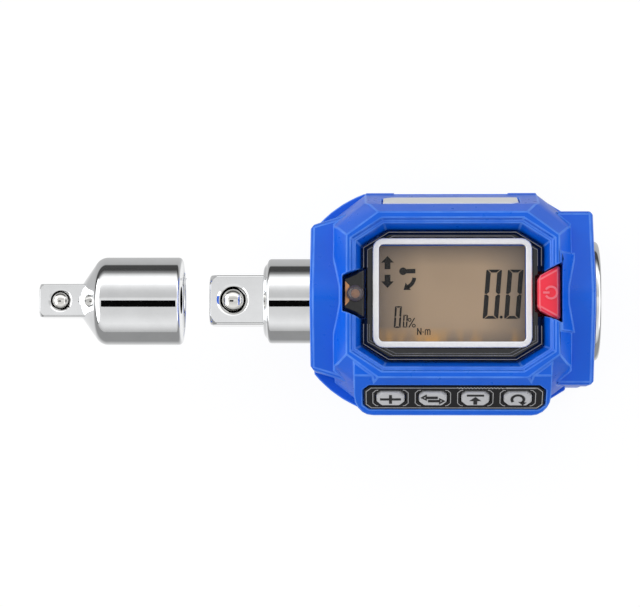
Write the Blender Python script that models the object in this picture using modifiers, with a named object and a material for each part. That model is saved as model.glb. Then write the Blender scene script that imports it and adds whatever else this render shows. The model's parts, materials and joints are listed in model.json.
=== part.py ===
"""Digital torque adapter with its reducer, one named object for each piece.

Lengths are in millimetres in this file and become metres where a mesh is made.
X runs along the spindle, +X towards the female end, and +Z is the display's side.
Heights are measured from the spindle's axis, which lies AXIS_HEIGHT above the back.
"""
import math

import bmesh
import bpy
from mathutils import Euler, Vector

MM = 0.001
GAP = 0.3                # clearance between neighbouring pieces

# housing
AXIS_HEIGHT = 22.5       # spindle axis above the flat back
BODY_HALF_LENGTH = 22.4  # main body at the parting plane
BODY_HALF_WIDTH = 20.4
CORNER_X = 5.9           # corner cut of the body's octagon
CORNER_Y = 4.5
WALL = 1.6
END_WALL = 1.5
CREST_HEIGHT = 21.0
CREST_HALF_LENGTH = BODY_HALF_LENGTH - 2.6
CREST_HALF_WIDTH = BODY_HALF_WIDTH - 4.95
CREST_CORNER_Y = 4.3
SHOULDER_HEIGHT = CREST_HEIGHT - 4.0   # where the steep side meets the crest's bevel
SHOULDER_HALF_WIDTH = BODY_HALF_WIDTH - 3.2
BEVEL_FOOT = CREST_HEIGHT - 5.5        # foot of the end bevels
SIDE_FOOT = 3.0          # foot of the sloping sides
END_BLOCK_X = BODY_HALF_LENGTH + 4.35  # outer faces of the two end blocks
LEFT_BLOCK_HALF = BODY_HALF_WIDTH - 6.7
LEFT_BLOCK_ROOT = BODY_HALF_WIDTH - CORNER_Y
RIGHT_BLOCK_HALF = BODY_HALF_WIDTH - 3.9
BLOCK_ROOT_X = BODY_HALF_LENGTH - 3.0
GABLE_HEIGHT = CREST_HEIGHT - 3.0
GABLE_SLOPE = 0.467      # fall of a block's roof away from its ridge
RIDGE_HALF = 1.5
ROOF_HEIGHT = CREST_HEIGHT - 8.0       # underside of the deck below the display
DECK = 1.2
CAVITY_HALF_LENGTH = BODY_HALF_LENGTH - END_WALL
FLOOR_HEIGHT = -8.7      # inner floor above the cells

# rear shell, which shows behind the front shell as a ledge
SHELL_STEP = 0.3         # how far its ends stand in
REAR_HALF_WIDTH = BODY_HALF_WIDTH + 0.55
REAR_CORNER_X = 6.2
REAR_CORNER_Y = 3.8
ROUND_RADIUS = BODY_HALF_WIDTH + 1.9   # its rounded end, beside the male square
ROUND_X = 13.2 - BODY_HALF_LENGTH
ROUND_STEPS = 8

# spindle, 3/8 inch drive
MALE_SQUARE = 9.53
MALE_TIP_X = -46.5
MALE_ROOT_X = -36.2
COLLAR_X = -35.3
COLLAR_RADIUS = 8.2
NECK_RADIUS = 6.0
NECK_START_X = -18.5
NECK_END_X = 9.0
NECK_FLAT = 5.2          # half distance between the gauge flats
FLANGE_RADIUS = 11.55
FLANGE_THICKNESS = 1.3
FEMALE_SQUARE = 9.7
FEMALE_DEPTH = 12.0
LOCK_GROOVE = 0.7        # depth of the groove that holds the housing

# detent balls: radius and how far each stands out of its square
BALL_RADIUS = 2.38
BALL_PROUD = 1.05
BALL_X = -42.0
SMALL_BALL_RADIUS = 1.75
SMALL_BALL_PROUD = 0.8
SMALL_BALL_FROM_TIP = 4.1
BALL_HOLE_DEPTH = 7.2
SMALL_BALL_HOLE_DEPTH = 4.6

# reducer, 3/8 to 1/4 inch
REDUCER_MOUTH_X = -52.05
REDUCER_LENGTH = 27.63
REDUCER_RADIUS = 8.5
REDUCER_SHOULDER = 13.1  # from the tip to the full diameter
SHOULDER_ANGLE = 50.0    # of the shoulder's cone, to the axis
SMALL_SQUARE = 6.35
SMALL_SQUARE_LENGTH = 8.25
SOCKET_DEPTH = 11.5
REDUCER_TRAVEL = 15.5

# display
BEZEL_HALF_LENGTH = CREST_HALF_LENGTH - 2.95
BEZEL_HALF_WIDTH = CREST_HALF_WIDTH - 3.3
BEZEL_CORNER_X = 4.7
BEZEL_CORNER_Y = 3.0
BEZEL_HEIGHT = 2.4
FRAME_LENGTH = 2 * BEZEL_HALF_LENGTH - 3.8
FRAME_WIDTH = 2 * BEZEL_HALF_WIDTH - 3.7
FRAME_RIM = 1.2
FRAME_Y = 0.55
FRAME_THICKNESS = 0.8
LENS_THICKNESS = 1.2
LCD_THICKNESS = 1.1
BOARD_Z = ROOF_HEIGHT - 4.2
BOARD_THICKNESS = 0.8

# power button and signal lamp
BUTTON_INNER_X = BEZEL_HALF_LENGTH - 1.05
BUTTON_OUTER_X = BEZEL_HALF_LENGTH + 3.15
BUTTON_INNER_HALF = 3.0
BUTTON_OUTER_HALF = 5.33
BUTTON_TOP = CREST_HEIGHT - 1.3
BUTTON_TRAVEL = 0.5
CONTROL_Y = 0.4
LAMP_INNER_X = 0.35 - BEZEL_HALF_LENGTH
LAMP_OUTER_X = LAMP_INNER_X - 3.8
LAMP_INNER_HALF = 4.65
LAMP_OUTER_HALF = 3.05
LAMP_X = LAMP_INNER_X - 1.65
LAMP_RADIUS = 1.3

# keypad on its slanted facet
KEYPAD_TILT = 47.0
KEYPAD_CENTRE = (0.3, 1.3 - BODY_HALF_WIDTH, CREST_HEIGHT - 4.85)
KEYPAD_LENGTH = 2 * BODY_HALF_LENGTH - 11.2
KEYPAD_WIDTH = 5.9
OVERLAY_THICKNESS = 1.0
KEY_LENGTH = 5.25
KEY_WIDTH = 3.4
KEY_CORNER = 0.9
KEY_PITCH = 7.92
KEY_PROUD = 0.4
KEY_TRAVEL = 0.4
KEYPAD_WALL = 1.2
NOSE_HALF_LENGTH = BODY_HALF_LENGTH - 4.0
NOSE_Y = -1.9 - BODY_HALF_WIDTH
NOSE_RADIUS = 3.5

# bare nameplate on the upper side, and the raised stretches at its ends
NAMEPLATE_LENGTH = 2 * BODY_HALF_LENGTH - 19.3
NAMEPLATE_WIDTH = 8.6
NAMEPLATE_X = -0.25
LUMP_LENGTH = 5.6        # raised stretches low on the upper side
LUMP_PROUD = 0.45
RAIL_LOW_Y = -6.7        # raised strip beside the power button
RAIL_HIGH_Y = 8.0
RAIL_PROUD = 0.55

# cells and their compartment
CELL_RADIUS = 5.25
CELL_LENGTH = 44.5
CELL_Z = -14.9
CELL_Y = 5.6
CONTACT_THICKNESS = 0.4
BAY_HALF_LENGTH = 23.3
BAY_HALF_WIDTH = 11.1
COVER_LIP = 0.9          # how far the cover laps over the bay's rim
COVER_THICKNESS = 1.6

# case screws
SCREW_X = BODY_HALF_LENGTH - 5.2
SCREW_Y = BODY_HALF_WIDTH - 5.6
BOSS_RADIUS = 3.0
SCREW_RADIUS = 1.1
SCREW_HEAD_RADIUS = 1.8
SCREW_HEAD_HEIGHT = 1.5
SCREW_SEAT_Z = -8.9
SCREW_TIP_Z = 5.5
COVER_SCREW_Y = BODY_HALF_WIDTH - 6.8
COVER_EAR = 2.8          # radius of the cover's ear round its screw

# pieces inside the housing
BOARD_HALF_WIDTH = SCREW_Y - 0.4
BOARD_CORNER_X = 7.6     # corners cut clear of the screw columns
BOARD_CORNER_Y = 6.2
SWITCH_HALF_X = 1.7
SWITCH_HALF_Y = 1.5
SWITCH_HEIGHT = 0.85
SWITCH_SLACK = 0.15      # left between a switch and its pressed key
KEY_FLANGE = 0.5
KEYPAD_BOARD_LOW = -3.6  # the board's edges, up and down the slope from the keys
KEYPAD_BOARD_HIGH = 1.9
KEYPAD_BOARD_THICKNESS = 0.6
BUZZER_RADIUS = 4.0
BUZZER_HEIGHT = 3.5
BUZZER_Y = 10.6
GAUGE_X = -5.0
GAUGE_HALF_LENGTH = 2.5
GAUGE_HALF_WIDTH = 2.0
GAUGE_THICKNESS = 0.2
FLAT_HALF_LENGTH = 7.0
SEAL_RADIUS = 0.65
SEAL_GROOVE_HALF = 0.8
CONTACT_WIDTH = 6.8
CONTACT_LOW = -3.6
CONTACT_HIGH = 3.9
COVER_SCREW_HEAD = 1.85
COVER_SCREW_RADIUS = 1.0
COVER_SCREW_SINK = 0.9   # depth of its countersunk head
COVER_SCREW_LENGTH = 9.4

# cuts that repeat
LEAD_DEPTH = 0.8         # countersink at the mouth of each drive socket
LEAD_FLARE = 1.2
BALL_WAY_CLEARANCE = 0.25
DETENT_HALF = 1.2        # ring groove in the socket, for the ratchet's ball
DETENT_FROM_FACE = 5.4
POCKET_HALF_X = 4.6      # cored-out pockets beside the cells
POCKET_HALF_Y = 1.6
POCKET_X = 8.8
POCKET_Y = 15.6

# values that follow from the sizes above
DECK_TOP = ROOF_HEIGHT + DECK
BEZEL_BOTTOM = DECK_TOP + GAP
BEZEL_TOP = BEZEL_BOTTOM + BEZEL_HEIGHT
BORE_RADIUS = COLLAR_RADIUS + GAP
FLANGE_X = END_BLOCK_X + GAP
FEMALE_FACE_X = FLANGE_X + FLANGE_THICKNESS
REDUCER_TIP_X = REDUCER_MOUTH_X - REDUCER_LENGTH
KEYPAD_ANGLE = math.radians(KEYPAD_TILT)
KEY_NORMAL = Vector((0, -math.sin(KEYPAD_ANGLE), math.cos(KEYPAD_ANGLE)))
KEY_NAMES = ("plus", "mode", "peak", "unit")
LOCK_X = -CAVITY_HALF_LENGTH - 1.0
SEAL_X = (CAVITY_HALF_LENGTH + END_BLOCK_X) / 2 + 1.0


def collection(name):
    """Make a collection in the scene."""
    group = bpy.data.collections.new(name)
    bpy.context.scene.collection.children.link(group)
    return group


def material(name, colour, roughness, metallic=0.0, alpha=1.0):
    """Make a material from one Principled BSDF."""
    mat = bpy.data.materials.new(name)
    mat.use_nodes = True
    shader = mat.node_tree.nodes["Principled BSDF"]
    shader.inputs["Base Color"].default_value = (*colour, 1.0)
    shader.inputs["Roughness"].default_value = roughness
    shader.inputs["Metallic"].default_value = metallic
    shader.inputs["Alpha"].default_value = alpha
    return mat


class Kit:
    """The two collections, and the ways in which a piece is made and put in them."""

    def __init__(self):
        self.parts = collection("torque_adapter")
        self.cutters = collection("cutters")

    def add(self, name, mesh, origin=(0, 0, 0), look=None):
        """Place a mesh: a piece if it has a look, and otherwise a cutter."""
        obj = bpy.data.objects.new(name, mesh)
        obj.location = (Vector(origin) + Vector((0, 0, AXIS_HEIGHT))) * MM
        if look is None:
            self.cutters.objects.link(obj)
            obj.hide_render = True
            obj.display_type = "WIRE"
        else:
            self.parts.objects.link(obj)
            mesh.materials.append(look)
        return obj

    def box(self, name, low, high, origin=(0, 0, 0), look=None):
        """A box between two corners, given from the origin."""
        low, high = Vector(low), Vector(high)
        bm = bmesh.new()
        bmesh.ops.create_cube(bm, size=1.0)
        bmesh.ops.scale(bm, vec=(high - low) * MM, verts=bm.verts)
        bmesh.ops.translate(bm, vec=(low + high) / 2 * MM, verts=bm.verts)
        return self.add(name, mesh_from(name, bm), origin, look)

    def rod(self, name, radius, low, high, origin=(0, 0, 0), look=None, sides=24):
        """An upright cylinder from low to high."""
        bm = bmesh.new()
        bmesh.ops.create_cone(bm, cap_ends=True, segments=sides, radius1=radius * MM,
                              radius2=radius * MM, depth=(high - low) * MM)
        bmesh.ops.translate(bm, vec=(0, 0, (low + high) / 2 * MM), verts=bm.verts)
        return self.add(name, smooth(mesh_from(name, bm)), origin, look)

    def plate(self, name, outline, low, high, origin=(0, 0, 0), look=None, holes=()):
        """A flat outline, with any holes, made solid from low to high."""
        curve = bpy.data.curves.new(name, "CURVE")
        curve.dimensions = "2D"
        curve.fill_mode = "BOTH"
        curve.extrude = (high - low) / 2
        for loop in (outline, *holes):
            spline = curve.splines.new("POLY")
            spline.points.add(len(loop) - 1)
            for point, (x, y) in zip(spline.points, loop):
                point.co = (x, y, 0, 1)
            spline.use_cyclic_u = True
        drawn = bpy.data.objects.new(name + "_outline", curve)
        bpy.context.scene.collection.objects.link(drawn)
        evaluated = drawn.evaluated_get(bpy.context.evaluated_depsgraph_get())
        bm = bmesh.new()
        bm.from_mesh(bpy.data.meshes.new_from_object(evaluated))
        bpy.data.objects.remove(drawn)
        bmesh.ops.remove_doubles(bm, verts=bm.verts, dist=0.001)
        bmesh.ops.translate(bm, vec=(0, 0, (low + high) / 2), verts=bm.verts)
        bmesh.ops.scale(bm, vec=(MM, MM, MM), verts=bm.verts)
        return self.add(name, mesh_from(name, bm), origin, look)

    def loft(self, name, rings, origin=(0, 0, 0), look=None):
        """Close a stack of outlines with equal numbers of points into one solid."""
        bm = bmesh.new()
        loops = [[bm.verts.new(Vector(point) * MM) for point in ring] for ring in rings]
        bm.faces.new(loops[0])
        bm.faces.new(loops[-1])
        for lower, upper in zip(loops, loops[1:]):
            for i in range(len(lower)):
                bm.faces.new((lower[i - 1], lower[i], upper[i], upper[i - 1]))
        return self.add(name, mesh_from(name, bm), origin, look)

    def turned(self, name, profile, origin=(0, 0, 0), look=None, steps=32, upright=False):
        """Turn a profile of (place along the axis, radius), from its low end to its high end."""
        mesh = bpy.data.meshes.new(name)
        closed = profile[0][1] > 0
        points = [(radius * MM, 0, along * MM) for along, radius in reversed(profile)]
        edges = [(i, i + 1) for i in range(len(points) - 1)]
        if closed:
            edges.append((len(points) - 1, 0))
        mesh.from_pydata(points, edges, [])
        obj = self.add(name, mesh, origin, look)
        screw = obj.modifiers.new("turn", "SCREW")
        screw.steps = steps
        screw.render_steps = steps
        screw.use_merge_vertices = True
        screw.merge_threshold = 0.00001
        if not upright:
            obj.rotation_euler = (0, math.pi / 2, 0)
        return obj

    def coil(self, name, radius, wire, low, high, turns, origin, look):
        """A compression spring standing along Z."""
        points_per_turn = 10
        count = int(turns * points_per_turn)
        curve = bpy.data.curves.new(name, "CURVE")
        curve.dimensions = "3D"
        curve.bevel_depth = wire
        curve.bevel_resolution = 1
        curve.use_fill_caps = True
        spline = curve.splines.new("POLY")
        spline.points.add(count)
        for i, point in enumerate(spline.points):
            turn = 2 * math.pi * i / points_per_turn
            height = low + wire + (high - low - 2 * wire) * i / count
            point.co = (radius * math.cos(turn), radius * math.sin(turn), height, 1)
        drawn = bpy.data.objects.new(name + "_wire", curve)
        bpy.context.scene.collection.objects.link(drawn)
        evaluated = drawn.evaluated_get(bpy.context.evaluated_depsgraph_get())
        bm = bmesh.new()
        bm.from_mesh(bpy.data.meshes.new_from_object(evaluated))
        bpy.data.objects.remove(drawn)
        bmesh.ops.remove_doubles(bm, verts=bm.verts, dist=0.001)
        bmesh.ops.scale(bm, vec=(MM, MM, MM), verts=bm.verts)
        return self.add(name, smooth(mesh_from(name, bm)), origin, look)


def mesh_from(name, bm):
    """Turn a bmesh into a mesh whose faces point outwards."""
    bmesh.ops.recalc_face_normals(bm, faces=bm.faces)
    mesh = bpy.data.meshes.new(name)
    bm.to_mesh(mesh)
    bm.free()
    return mesh


def smooth(mesh):
    """Shade a round mesh smooth, apart from its sharp edges."""
    mesh.shade_smooth()
    mesh.set_sharp_from_angle(angle=math.radians(35))
    return mesh


def combine(obj, other, operation="DIFFERENCE"):
    """Cut, join or intersect an object with another one."""
    step = obj.modifiers.new(other.name, "BOOLEAN")
    step.operation = operation
    step.object = other
    return obj


def bevel(obj, width, segments=1, angle=30):
    """Take the sharp edges off a solid."""
    step = obj.modifiers.new("bevel", "BEVEL")
    step.width = width * MM
    step.segments = segments
    step.limit_method = "ANGLE"
    step.angle_limit = math.radians(angle)
    return obj


def octagon(half_x, half_y, cut_x, cut_y, centre=(0, 0)):
    """The corners of a rectangle with cut corners, anticlockwise."""
    cx, cy = centre
    inner_x, inner_y = half_x - cut_x, half_y - cut_y
    return [(cx + half_x, cy - inner_y), (cx + half_x, cy + inner_y),
            (cx + inner_x, cy + half_y), (cx - inner_x, cy + half_y),
            (cx - half_x, cy + inner_y), (cx - half_x, cy - inner_y),
            (cx - inner_x, cy - half_y), (cx + inner_x, cy - half_y)]


def rounded(half_x, half_y, radius, centre=(0, 0), steps=4):
    """The outline of a rectangle with round corners, anticlockwise."""
    outline = []
    for quarter in range(4):
        side_x = 1 if quarter in (0, 3) else -1
        side_y = 1 if quarter in (0, 1) else -1
        for step in range(steps + 1):
            angle = math.pi / 2 * (quarter + step / steps)
            outline.append((centre[0] + side_x * (half_x - radius) + radius * math.cos(angle),
                            centre[1] + side_y * (half_y - radius) + radius * math.sin(angle)))
    return outline


def trapezoid(inner_x, outer_x, inner_half, outer_half, grow=0.0):
    """The outline of the button or the lamp's holder, made larger all round by grow."""
    side = 1 if outer_x > inner_x else -1
    return [(inner_x - side * grow, CONTROL_Y - inner_half - grow),
            (outer_x + side * grow, CONTROL_Y - outer_half - grow),
            (outer_x + side * grow, CONTROL_Y + outer_half + grow),
            (inner_x - side * grow, CONTROL_Y + inner_half + grow)]


def at_height(outline, height):
    """Lift a flat outline to a height."""
    return [(x, y, height) for x, y in outline]


def along_x(profile, x):
    """Stand an outline of (y, z) up at x."""
    return [(x, y, z) for y, z in profile]


def facet(x, up, out):
    """A point near the keypad: x, distance up its facet and distance out of it."""
    rise = Vector((0, math.cos(KEYPAD_ANGLE), math.sin(KEYPAD_ANGLE)))
    return Vector(KEYPAD_CENTRE) + Vector((x, 0, 0)) + rise * up + KEY_NORMAL * out


def on_facet(obj):
    """Turn an object to face out of the keypad's facet."""
    obj.rotation_euler = Euler((KEYPAD_ANGLE, 0, 0))
    return obj


def bore(kit, name):
    """The way through both shells for the spindle, with its rib and its seal grooves."""
    wide, rib = BORE_RADIUS, BORE_RADIUS - LOCK_GROOVE
    seal, room = BORE_RADIUS + 2 * SEAL_RADIUS + GAP, SEAL_GROOVE_HALF
    end = END_BLOCK_X + 1.0
    profile = [(-end, 0), (-end, wide),
               (-SEAL_X - room, wide), (-SEAL_X - room, seal),
               (-SEAL_X + room, seal), (-SEAL_X + room, wide),
               (LOCK_X, wide), (LOCK_X, rib),
               (-CAVITY_HALF_LENGTH + 0.5, rib), (-CAVITY_HALF_LENGTH + 0.5, wide),
               (SEAL_X - room, wide), (SEAL_X - room, seal),
               (SEAL_X + room, seal), (SEAL_X + room, wide),
               (end, wide), (end, 0)]
    return kit.turned(name, profile, steps=40)


def screw_bosses(kit, name, low, high):
    """The four columns that the case screws pass through, as one list of cutters."""
    return [kit.rod(f"{name}_{i}", BOSS_RADIUS, low, high, (sx * SCREW_X, sy * SCREW_Y, 0), sides=20)
            for i, (sx, sy) in enumerate(corners())]


def corners():
    """The signs of the four corners, in order round the housing."""
    return ((1, 1), (-1, 1), (-1, -1), (1, -1))


def front_block(kit, name, side, root_half, outer_half):
    """A gabled block at one end of the front shell, its roof one pair of planes."""
    rings = []
    for x, half in ((BLOCK_ROOT_X, root_half), (END_BLOCK_X, outer_half)):
        shoulder = GABLE_HEIGHT - (half - RIDGE_HALF) * GABLE_SLOPE
        rings.append(along_x([(-half, 0), (half, 0), (half, shoulder), (RIDGE_HALF, GABLE_HEIGHT),
                              (-RIDGE_HALF, GABLE_HEIGHT), (-half, shoulder)], side * x))
    return bevel(kit.loft(name, rings), 0.6)


def side_lump(kit, name, low_x, high_x):
    """A raised stretch low on the front shell's side, near one end of the nameplate."""
    inner, outer = BODY_HALF_WIDTH - 3.0, BODY_HALF_WIDTH + LUMP_PROUD
    top = SIDE_FOOT + 0.8
    profile = [(inner, 0), (outer, 0), (outer, SIDE_FOOT - 0.6), (BODY_HALF_WIDTH - 0.5, top), (inner, top)]
    return kit.loft(name, [along_x(profile, low_x), along_x(profile, high_x)])


def front_body(kit, look):
    """The front shell's outer form: octagonal body, end blocks, nose and raised stretches."""
    length, width = BODY_HALF_LENGTH, BODY_HALF_WIDTH
    rings = [at_height(octagon(length, width, CORNER_X, CORNER_Y), 0),
             at_height(octagon(length, width, CORNER_X, CORNER_Y), SIDE_FOOT),
             at_height(octagon(length - 0.2, SHOULDER_HALF_WIDTH + 0.4, CORNER_X, CORNER_Y), BEVEL_FOOT),
             at_height(octagon(length - 0.95, SHOULDER_HALF_WIDTH, CORNER_X, CORNER_Y), SHOULDER_HEIGHT),
             at_height(octagon(CREST_HALF_LENGTH, CREST_HALF_WIDTH, CORNER_X, CREST_CORNER_Y),
                       CREST_HEIGHT)]
    shell = kit.loft("front_shell", rings, look=look)
    blocks = [front_block(kit, "left_block", -1, LEFT_BLOCK_ROOT, LEFT_BLOCK_HALF),
              front_block(kit, "right_block", 1, RIGHT_BLOCK_HALF, RIGHT_BLOCK_HALF)]
    lump_end = BODY_HALF_LENGTH - CORNER_X
    lumps = [side_lump(kit, "left_lump", -lump_end, LUMP_LENGTH - lump_end),
             side_lump(kit, "right_lump", lump_end - LUMP_LENGTH, lump_end)]
    foot_x = BODY_HALF_LENGTH - 0.2 + RAIL_PROUD
    crest_x = CREST_HALF_LENGTH + RAIL_PROUD
    rail = kit.loft("button_rail", [
        [(16.0, y, 8.0), (foot_x, y, 8.0), (foot_x, y, BEVEL_FOOT), (crest_x, y, CREST_HEIGHT - 0.2),
         (16.0, y, CREST_HEIGHT - 0.2)] for y in (RAIL_LOW_Y, RAIL_HIGH_Y)])
    for extra in (*blocks, *lumps, rail, nose(kit)):
        combine(shell, extra, "UNION")
    return shell


def nose(kit):
    """The overhanging nose that carries the keypad."""
    foot_y, foot_z = -BODY_HALF_WIDTH, SIDE_FOOT
    slope = math.tan(KEYPAD_ANGLE)
    edge_z = KEYPAD_CENTRE[2] - (KEYPAD_CENTRE[1] - NOSE_Y) * slope
    top_y = -CREST_HALF_WIDTH + 0.4
    top_z = KEYPAD_CENTRE[2] + (top_y - KEYPAD_CENTRE[1]) * slope
    profile = [(-12.0, foot_z), (foot_y, foot_z), (NOSE_Y, edge_z - 0.6), (NOSE_Y, edge_z),
               (top_y, top_z), (-12.0, top_z)]
    bar = kit.loft("nose", [along_x(profile, -NOSE_HALF_LENGTH), along_x(profile, NOSE_HALF_LENGTH)])
    half_y = 8.0
    plan = rounded(NOSE_HALF_LENGTH, half_y, NOSE_RADIUS, centre=(0, NOSE_Y + half_y), steps=5)
    return combine(bar, kit.plate("nose_plan", plan, 0, CREST_HEIGHT + 2), "INTERSECT")


def cavity(kit):
    """The room inside the front shell, less the columns for the case screws."""
    half_low = BODY_HALF_WIDTH - WALL - 0.2
    half_high = half_low - (ROOF_HEIGHT - SIDE_FOOT) * 0.27
    room = kit.loft("front_room", [
        at_height(octagon(CAVITY_HALF_LENGTH, half_low, CORNER_X, CORNER_Y), -1.0),
        at_height(octagon(CAVITY_HALF_LENGTH, half_low, CORNER_X, CORNER_Y), SIDE_FOOT),
        at_height(octagon(CAVITY_HALF_LENGTH, half_high, CORNER_X, CORNER_Y), ROOF_HEIGHT)])
    for boss in screw_bosses(kit, "front_boss", -2.0, SCREW_TIP_Z + 1.5):
        combine(room, boss)
    depth = OVERLAY_THICKNESS + GAP + KEYPAD_WALL
    pocket = on_facet(kit.box("keypad_room", (-KEYPAD_LENGTH / 2 + 0.4, -5.0, -8.5),
                              (KEYPAD_LENGTH / 2 - 0.4, 2.45, -depth), KEYPAD_CENTRE))
    return room, pocket


def funnel(kit):
    """The stepped well that leads from the crest down to the bezel."""
    half_x, half_y = BEZEL_HALF_LENGTH + GAP, BEZEL_HALF_WIDTH + GAP
    cuts = (BEZEL_CORNER_X, BEZEL_CORNER_Y)
    steps = [(0.0, DECK_TOP), (0.0, BEZEL_TOP - 0.9), (0.95, CREST_HEIGHT - 1.3),
             (1.5, CREST_HEIGHT - 1.1), (1.9, CREST_HEIGHT + 0.3)]
    return kit.loft("well", [at_height(octagon(half_x + out, half_y + out, cuts[0] + out * 0.6,
                                               cuts[1] + out * 0.4), height) for out, height in steps])


def front_shell(kit, look):
    """The front shell with everything that is cut into it."""
    shell = front_body(kit, look)
    window = (FRAME_LENGTH / 2 - FRAME_RIM, FRAME_WIDTH / 2 - FRAME_RIM)
    frame_y = FRAME_Y
    cuts = [*cavity(kit), funnel(kit), bore(kit, "front_bore"),
            kit.box("display_window", (-window[0], frame_y - window[1], ROOF_HEIGHT - 1),
                    (window[0], frame_y + window[1], DECK_TOP + 1)),
            kit.plate("button_hole", trapezoid(BUTTON_INNER_X, BUTTON_OUTER_X, BUTTON_INNER_HALF,
                                               BUTTON_OUTER_HALF, GAP), ROOF_HEIGHT - 1, 24),
            kit.plate("lamp_notch", trapezoid(LAMP_INNER_X, LAMP_OUTER_X, LAMP_INNER_HALF,
                                              LAMP_OUTER_HALF, GAP), DECK_TOP, 24),
            kit.rod("lamp_hole", LAMP_RADIUS + GAP, ROOF_HEIGHT - 1, DECK_TOP + 1,
                    (LAMP_X, CONTROL_Y, 0)),
            keypad_recess(kit), *key_holes(kit, "shell_key_hole", -4.0, GAP),
            nameplate_recess(kit)]
    for i, (sx, sy) in enumerate(corners()):
        cuts.append(kit.rod(f"front_screw_hole_{i}", SCREW_RADIUS + GAP, -1.0, SCREW_TIP_Z + GAP,
                            (sx * SCREW_X, sy * SCREW_Y, 0), sides=16))
    for cutter in cuts:
        combine(shell, cutter)
    return shell


def rear_plan(inset, height):
    """The rear shell's plan, anticlockwise: cut corners at one end, and round at the other."""
    half, radius = REAR_HALF_WIDTH - inset, ROUND_RADIUS - inset
    right = BODY_HALF_LENGTH - SHELL_STEP - inset * 0.6
    face = END_BLOCK_X - SHELL_STEP - inset * 0.6
    low, high = math.acos((face + ROUND_X) / radius), math.asin(half / radius)
    angles = [high + (low - high) * i / ROUND_STEPS for i in range(ROUND_STEPS + 1)]
    upper = [(right, half - REAR_CORNER_Y), (right - REAR_CORNER_X, half)]
    upper += [(ROUND_X - radius * math.cos(a), radius * math.sin(a)) for a in angles]
    return at_height(upper + [(x, -y) for x, y in reversed(upper)], height)


def rear_shell(kit, look):
    """The rear shell: cell bay, cover seat, screw holes and cored-out sides."""
    back = -AXIS_HEIGHT
    shell = kit.loft("rear_shell", [rear_plan(1.6, back), rear_plan(0.5, back + 2.4),
                                    rear_plan(0.0, -8.0), rear_plan(0.0, -GAP)], look=look)
    w, x = RIGHT_BLOCK_HALF - SHELL_STEP, END_BLOCK_X - SHELL_STEP
    profile = [(-w, -GAP), (-w, back + 2.0), (1.0 - w, back + 0.3), (w - 1.0, back + 0.3),
               (w, back + 2.0), (w, -GAP)]
    block = kit.loft("rear_right_block", [along_x(profile, BLOCK_ROOT_X), along_x(profile, x)])
    combine(shell, bevel(block, 0.5), "UNION")
    room = kit.loft("rear_room", [
        at_height(octagon(CAVITY_HALF_LENGTH, BODY_HALF_WIDTH - WALL - 0.5, CORNER_X, CORNER_Y), z)
        for z in (FLOOR_HEIGHT, 1.0)])
    for boss in screw_bosses(kit, "rear_boss", FLOOR_HEIGHT - 1, 2.0):
        combine(room, boss)
    bay_half = (BAY_HALF_LENGTH, BAY_HALF_WIDTH)
    cover_half = (BAY_HALF_LENGTH + COVER_LIP + GAP, BAY_HALF_WIDTH + COVER_LIP + GAP)
    seat = back + COVER_THICKNESS + GAP
    ceiling = CELL_Z + CELL_RADIUS + GAP
    cuts = [room, bore(kit, "rear_bore"),
            kit.box("cell_bay", (-bay_half[0], -bay_half[1], back - 1), (*bay_half, ceiling)),
            kit.box("cover_seat", (-cover_half[0], -cover_half[1], back - 1), (*cover_half, seat)),
            kit.rod("cover_ear_seat", COVER_EAR + GAP, back - 1, seat, (0, COVER_SCREW_Y, 0)),
            kit.rod("cover_screw_hole", COVER_SCREW_RADIUS + GAP, back - 1,
                    back + COVER_SCREW_LENGTH + 0.6, (0, COVER_SCREW_Y, 0), sides=16)]
    for i, (sx, sy) in enumerate(corners()):
        at = (sx * SCREW_X, sy * SCREW_Y, 0)
        cuts.append(kit.rod(f"counterbore_{i}", SCREW_HEAD_RADIUS + GAP, back - 1, SCREW_SEAT_Z, at))
        cuts.append(kit.rod(f"rear_screw_hole_{i}", SCREW_RADIUS + GAP, back, 1.0, at, sides=16))
        cuts.append(kit.box(f"side_pocket_{i}", (-POCKET_HALF_X, -POCKET_HALF_Y, back + 3.0),
                            (POCKET_HALF_X, POCKET_HALF_Y, FLOOR_HEIGHT + 1),
                            (sx * POCKET_X, sy * POCKET_Y, 0)))
    for cutter in cuts:
        combine(shell, cutter)
    return shell


def keypad_recess(kit):
    """The recess in the nose that the keypad's plate lies in."""
    half = (KEYPAD_LENGTH / 2 + GAP, KEYPAD_WIDTH / 2 + GAP)
    outline = octagon(*half, 1.2, 1.2)
    return on_facet(kit.plate("keypad_recess", outline, -OVERLAY_THICKNESS - GAP, 3.0, KEYPAD_CENTRE))


def key_places():
    """How far each key stands from the keypad's centre."""
    return [KEY_PITCH * (i - 1.5) for i in range(4)]


def key_holes(kit, name, low, grow):
    """Four holes that the keys pass through, in the overlay or the shell."""
    outline = octagon(KEY_LENGTH / 2 + grow, KEY_WIDTH / 2 + grow, KEY_CORNER, KEY_CORNER)
    return [on_facet(kit.plate(f"{name}_{i}", outline, low, 2.0, facet(x, 0, 0)))
            for i, x in enumerate(key_places())]


def nameplate_place():
    """The middle of the nameplate's sloping facet, and its tilt."""
    run = BODY_HALF_WIDTH - SHOULDER_HALF_WIDTH - 0.4
    rise = BEVEL_FOOT - SIDE_FOOT
    tilt = math.atan2(run, rise)
    middle = (NAMEPLATE_X, BODY_HALF_WIDTH - run * 0.72, SIDE_FOOT + rise * 0.72)
    return middle, tilt


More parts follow.
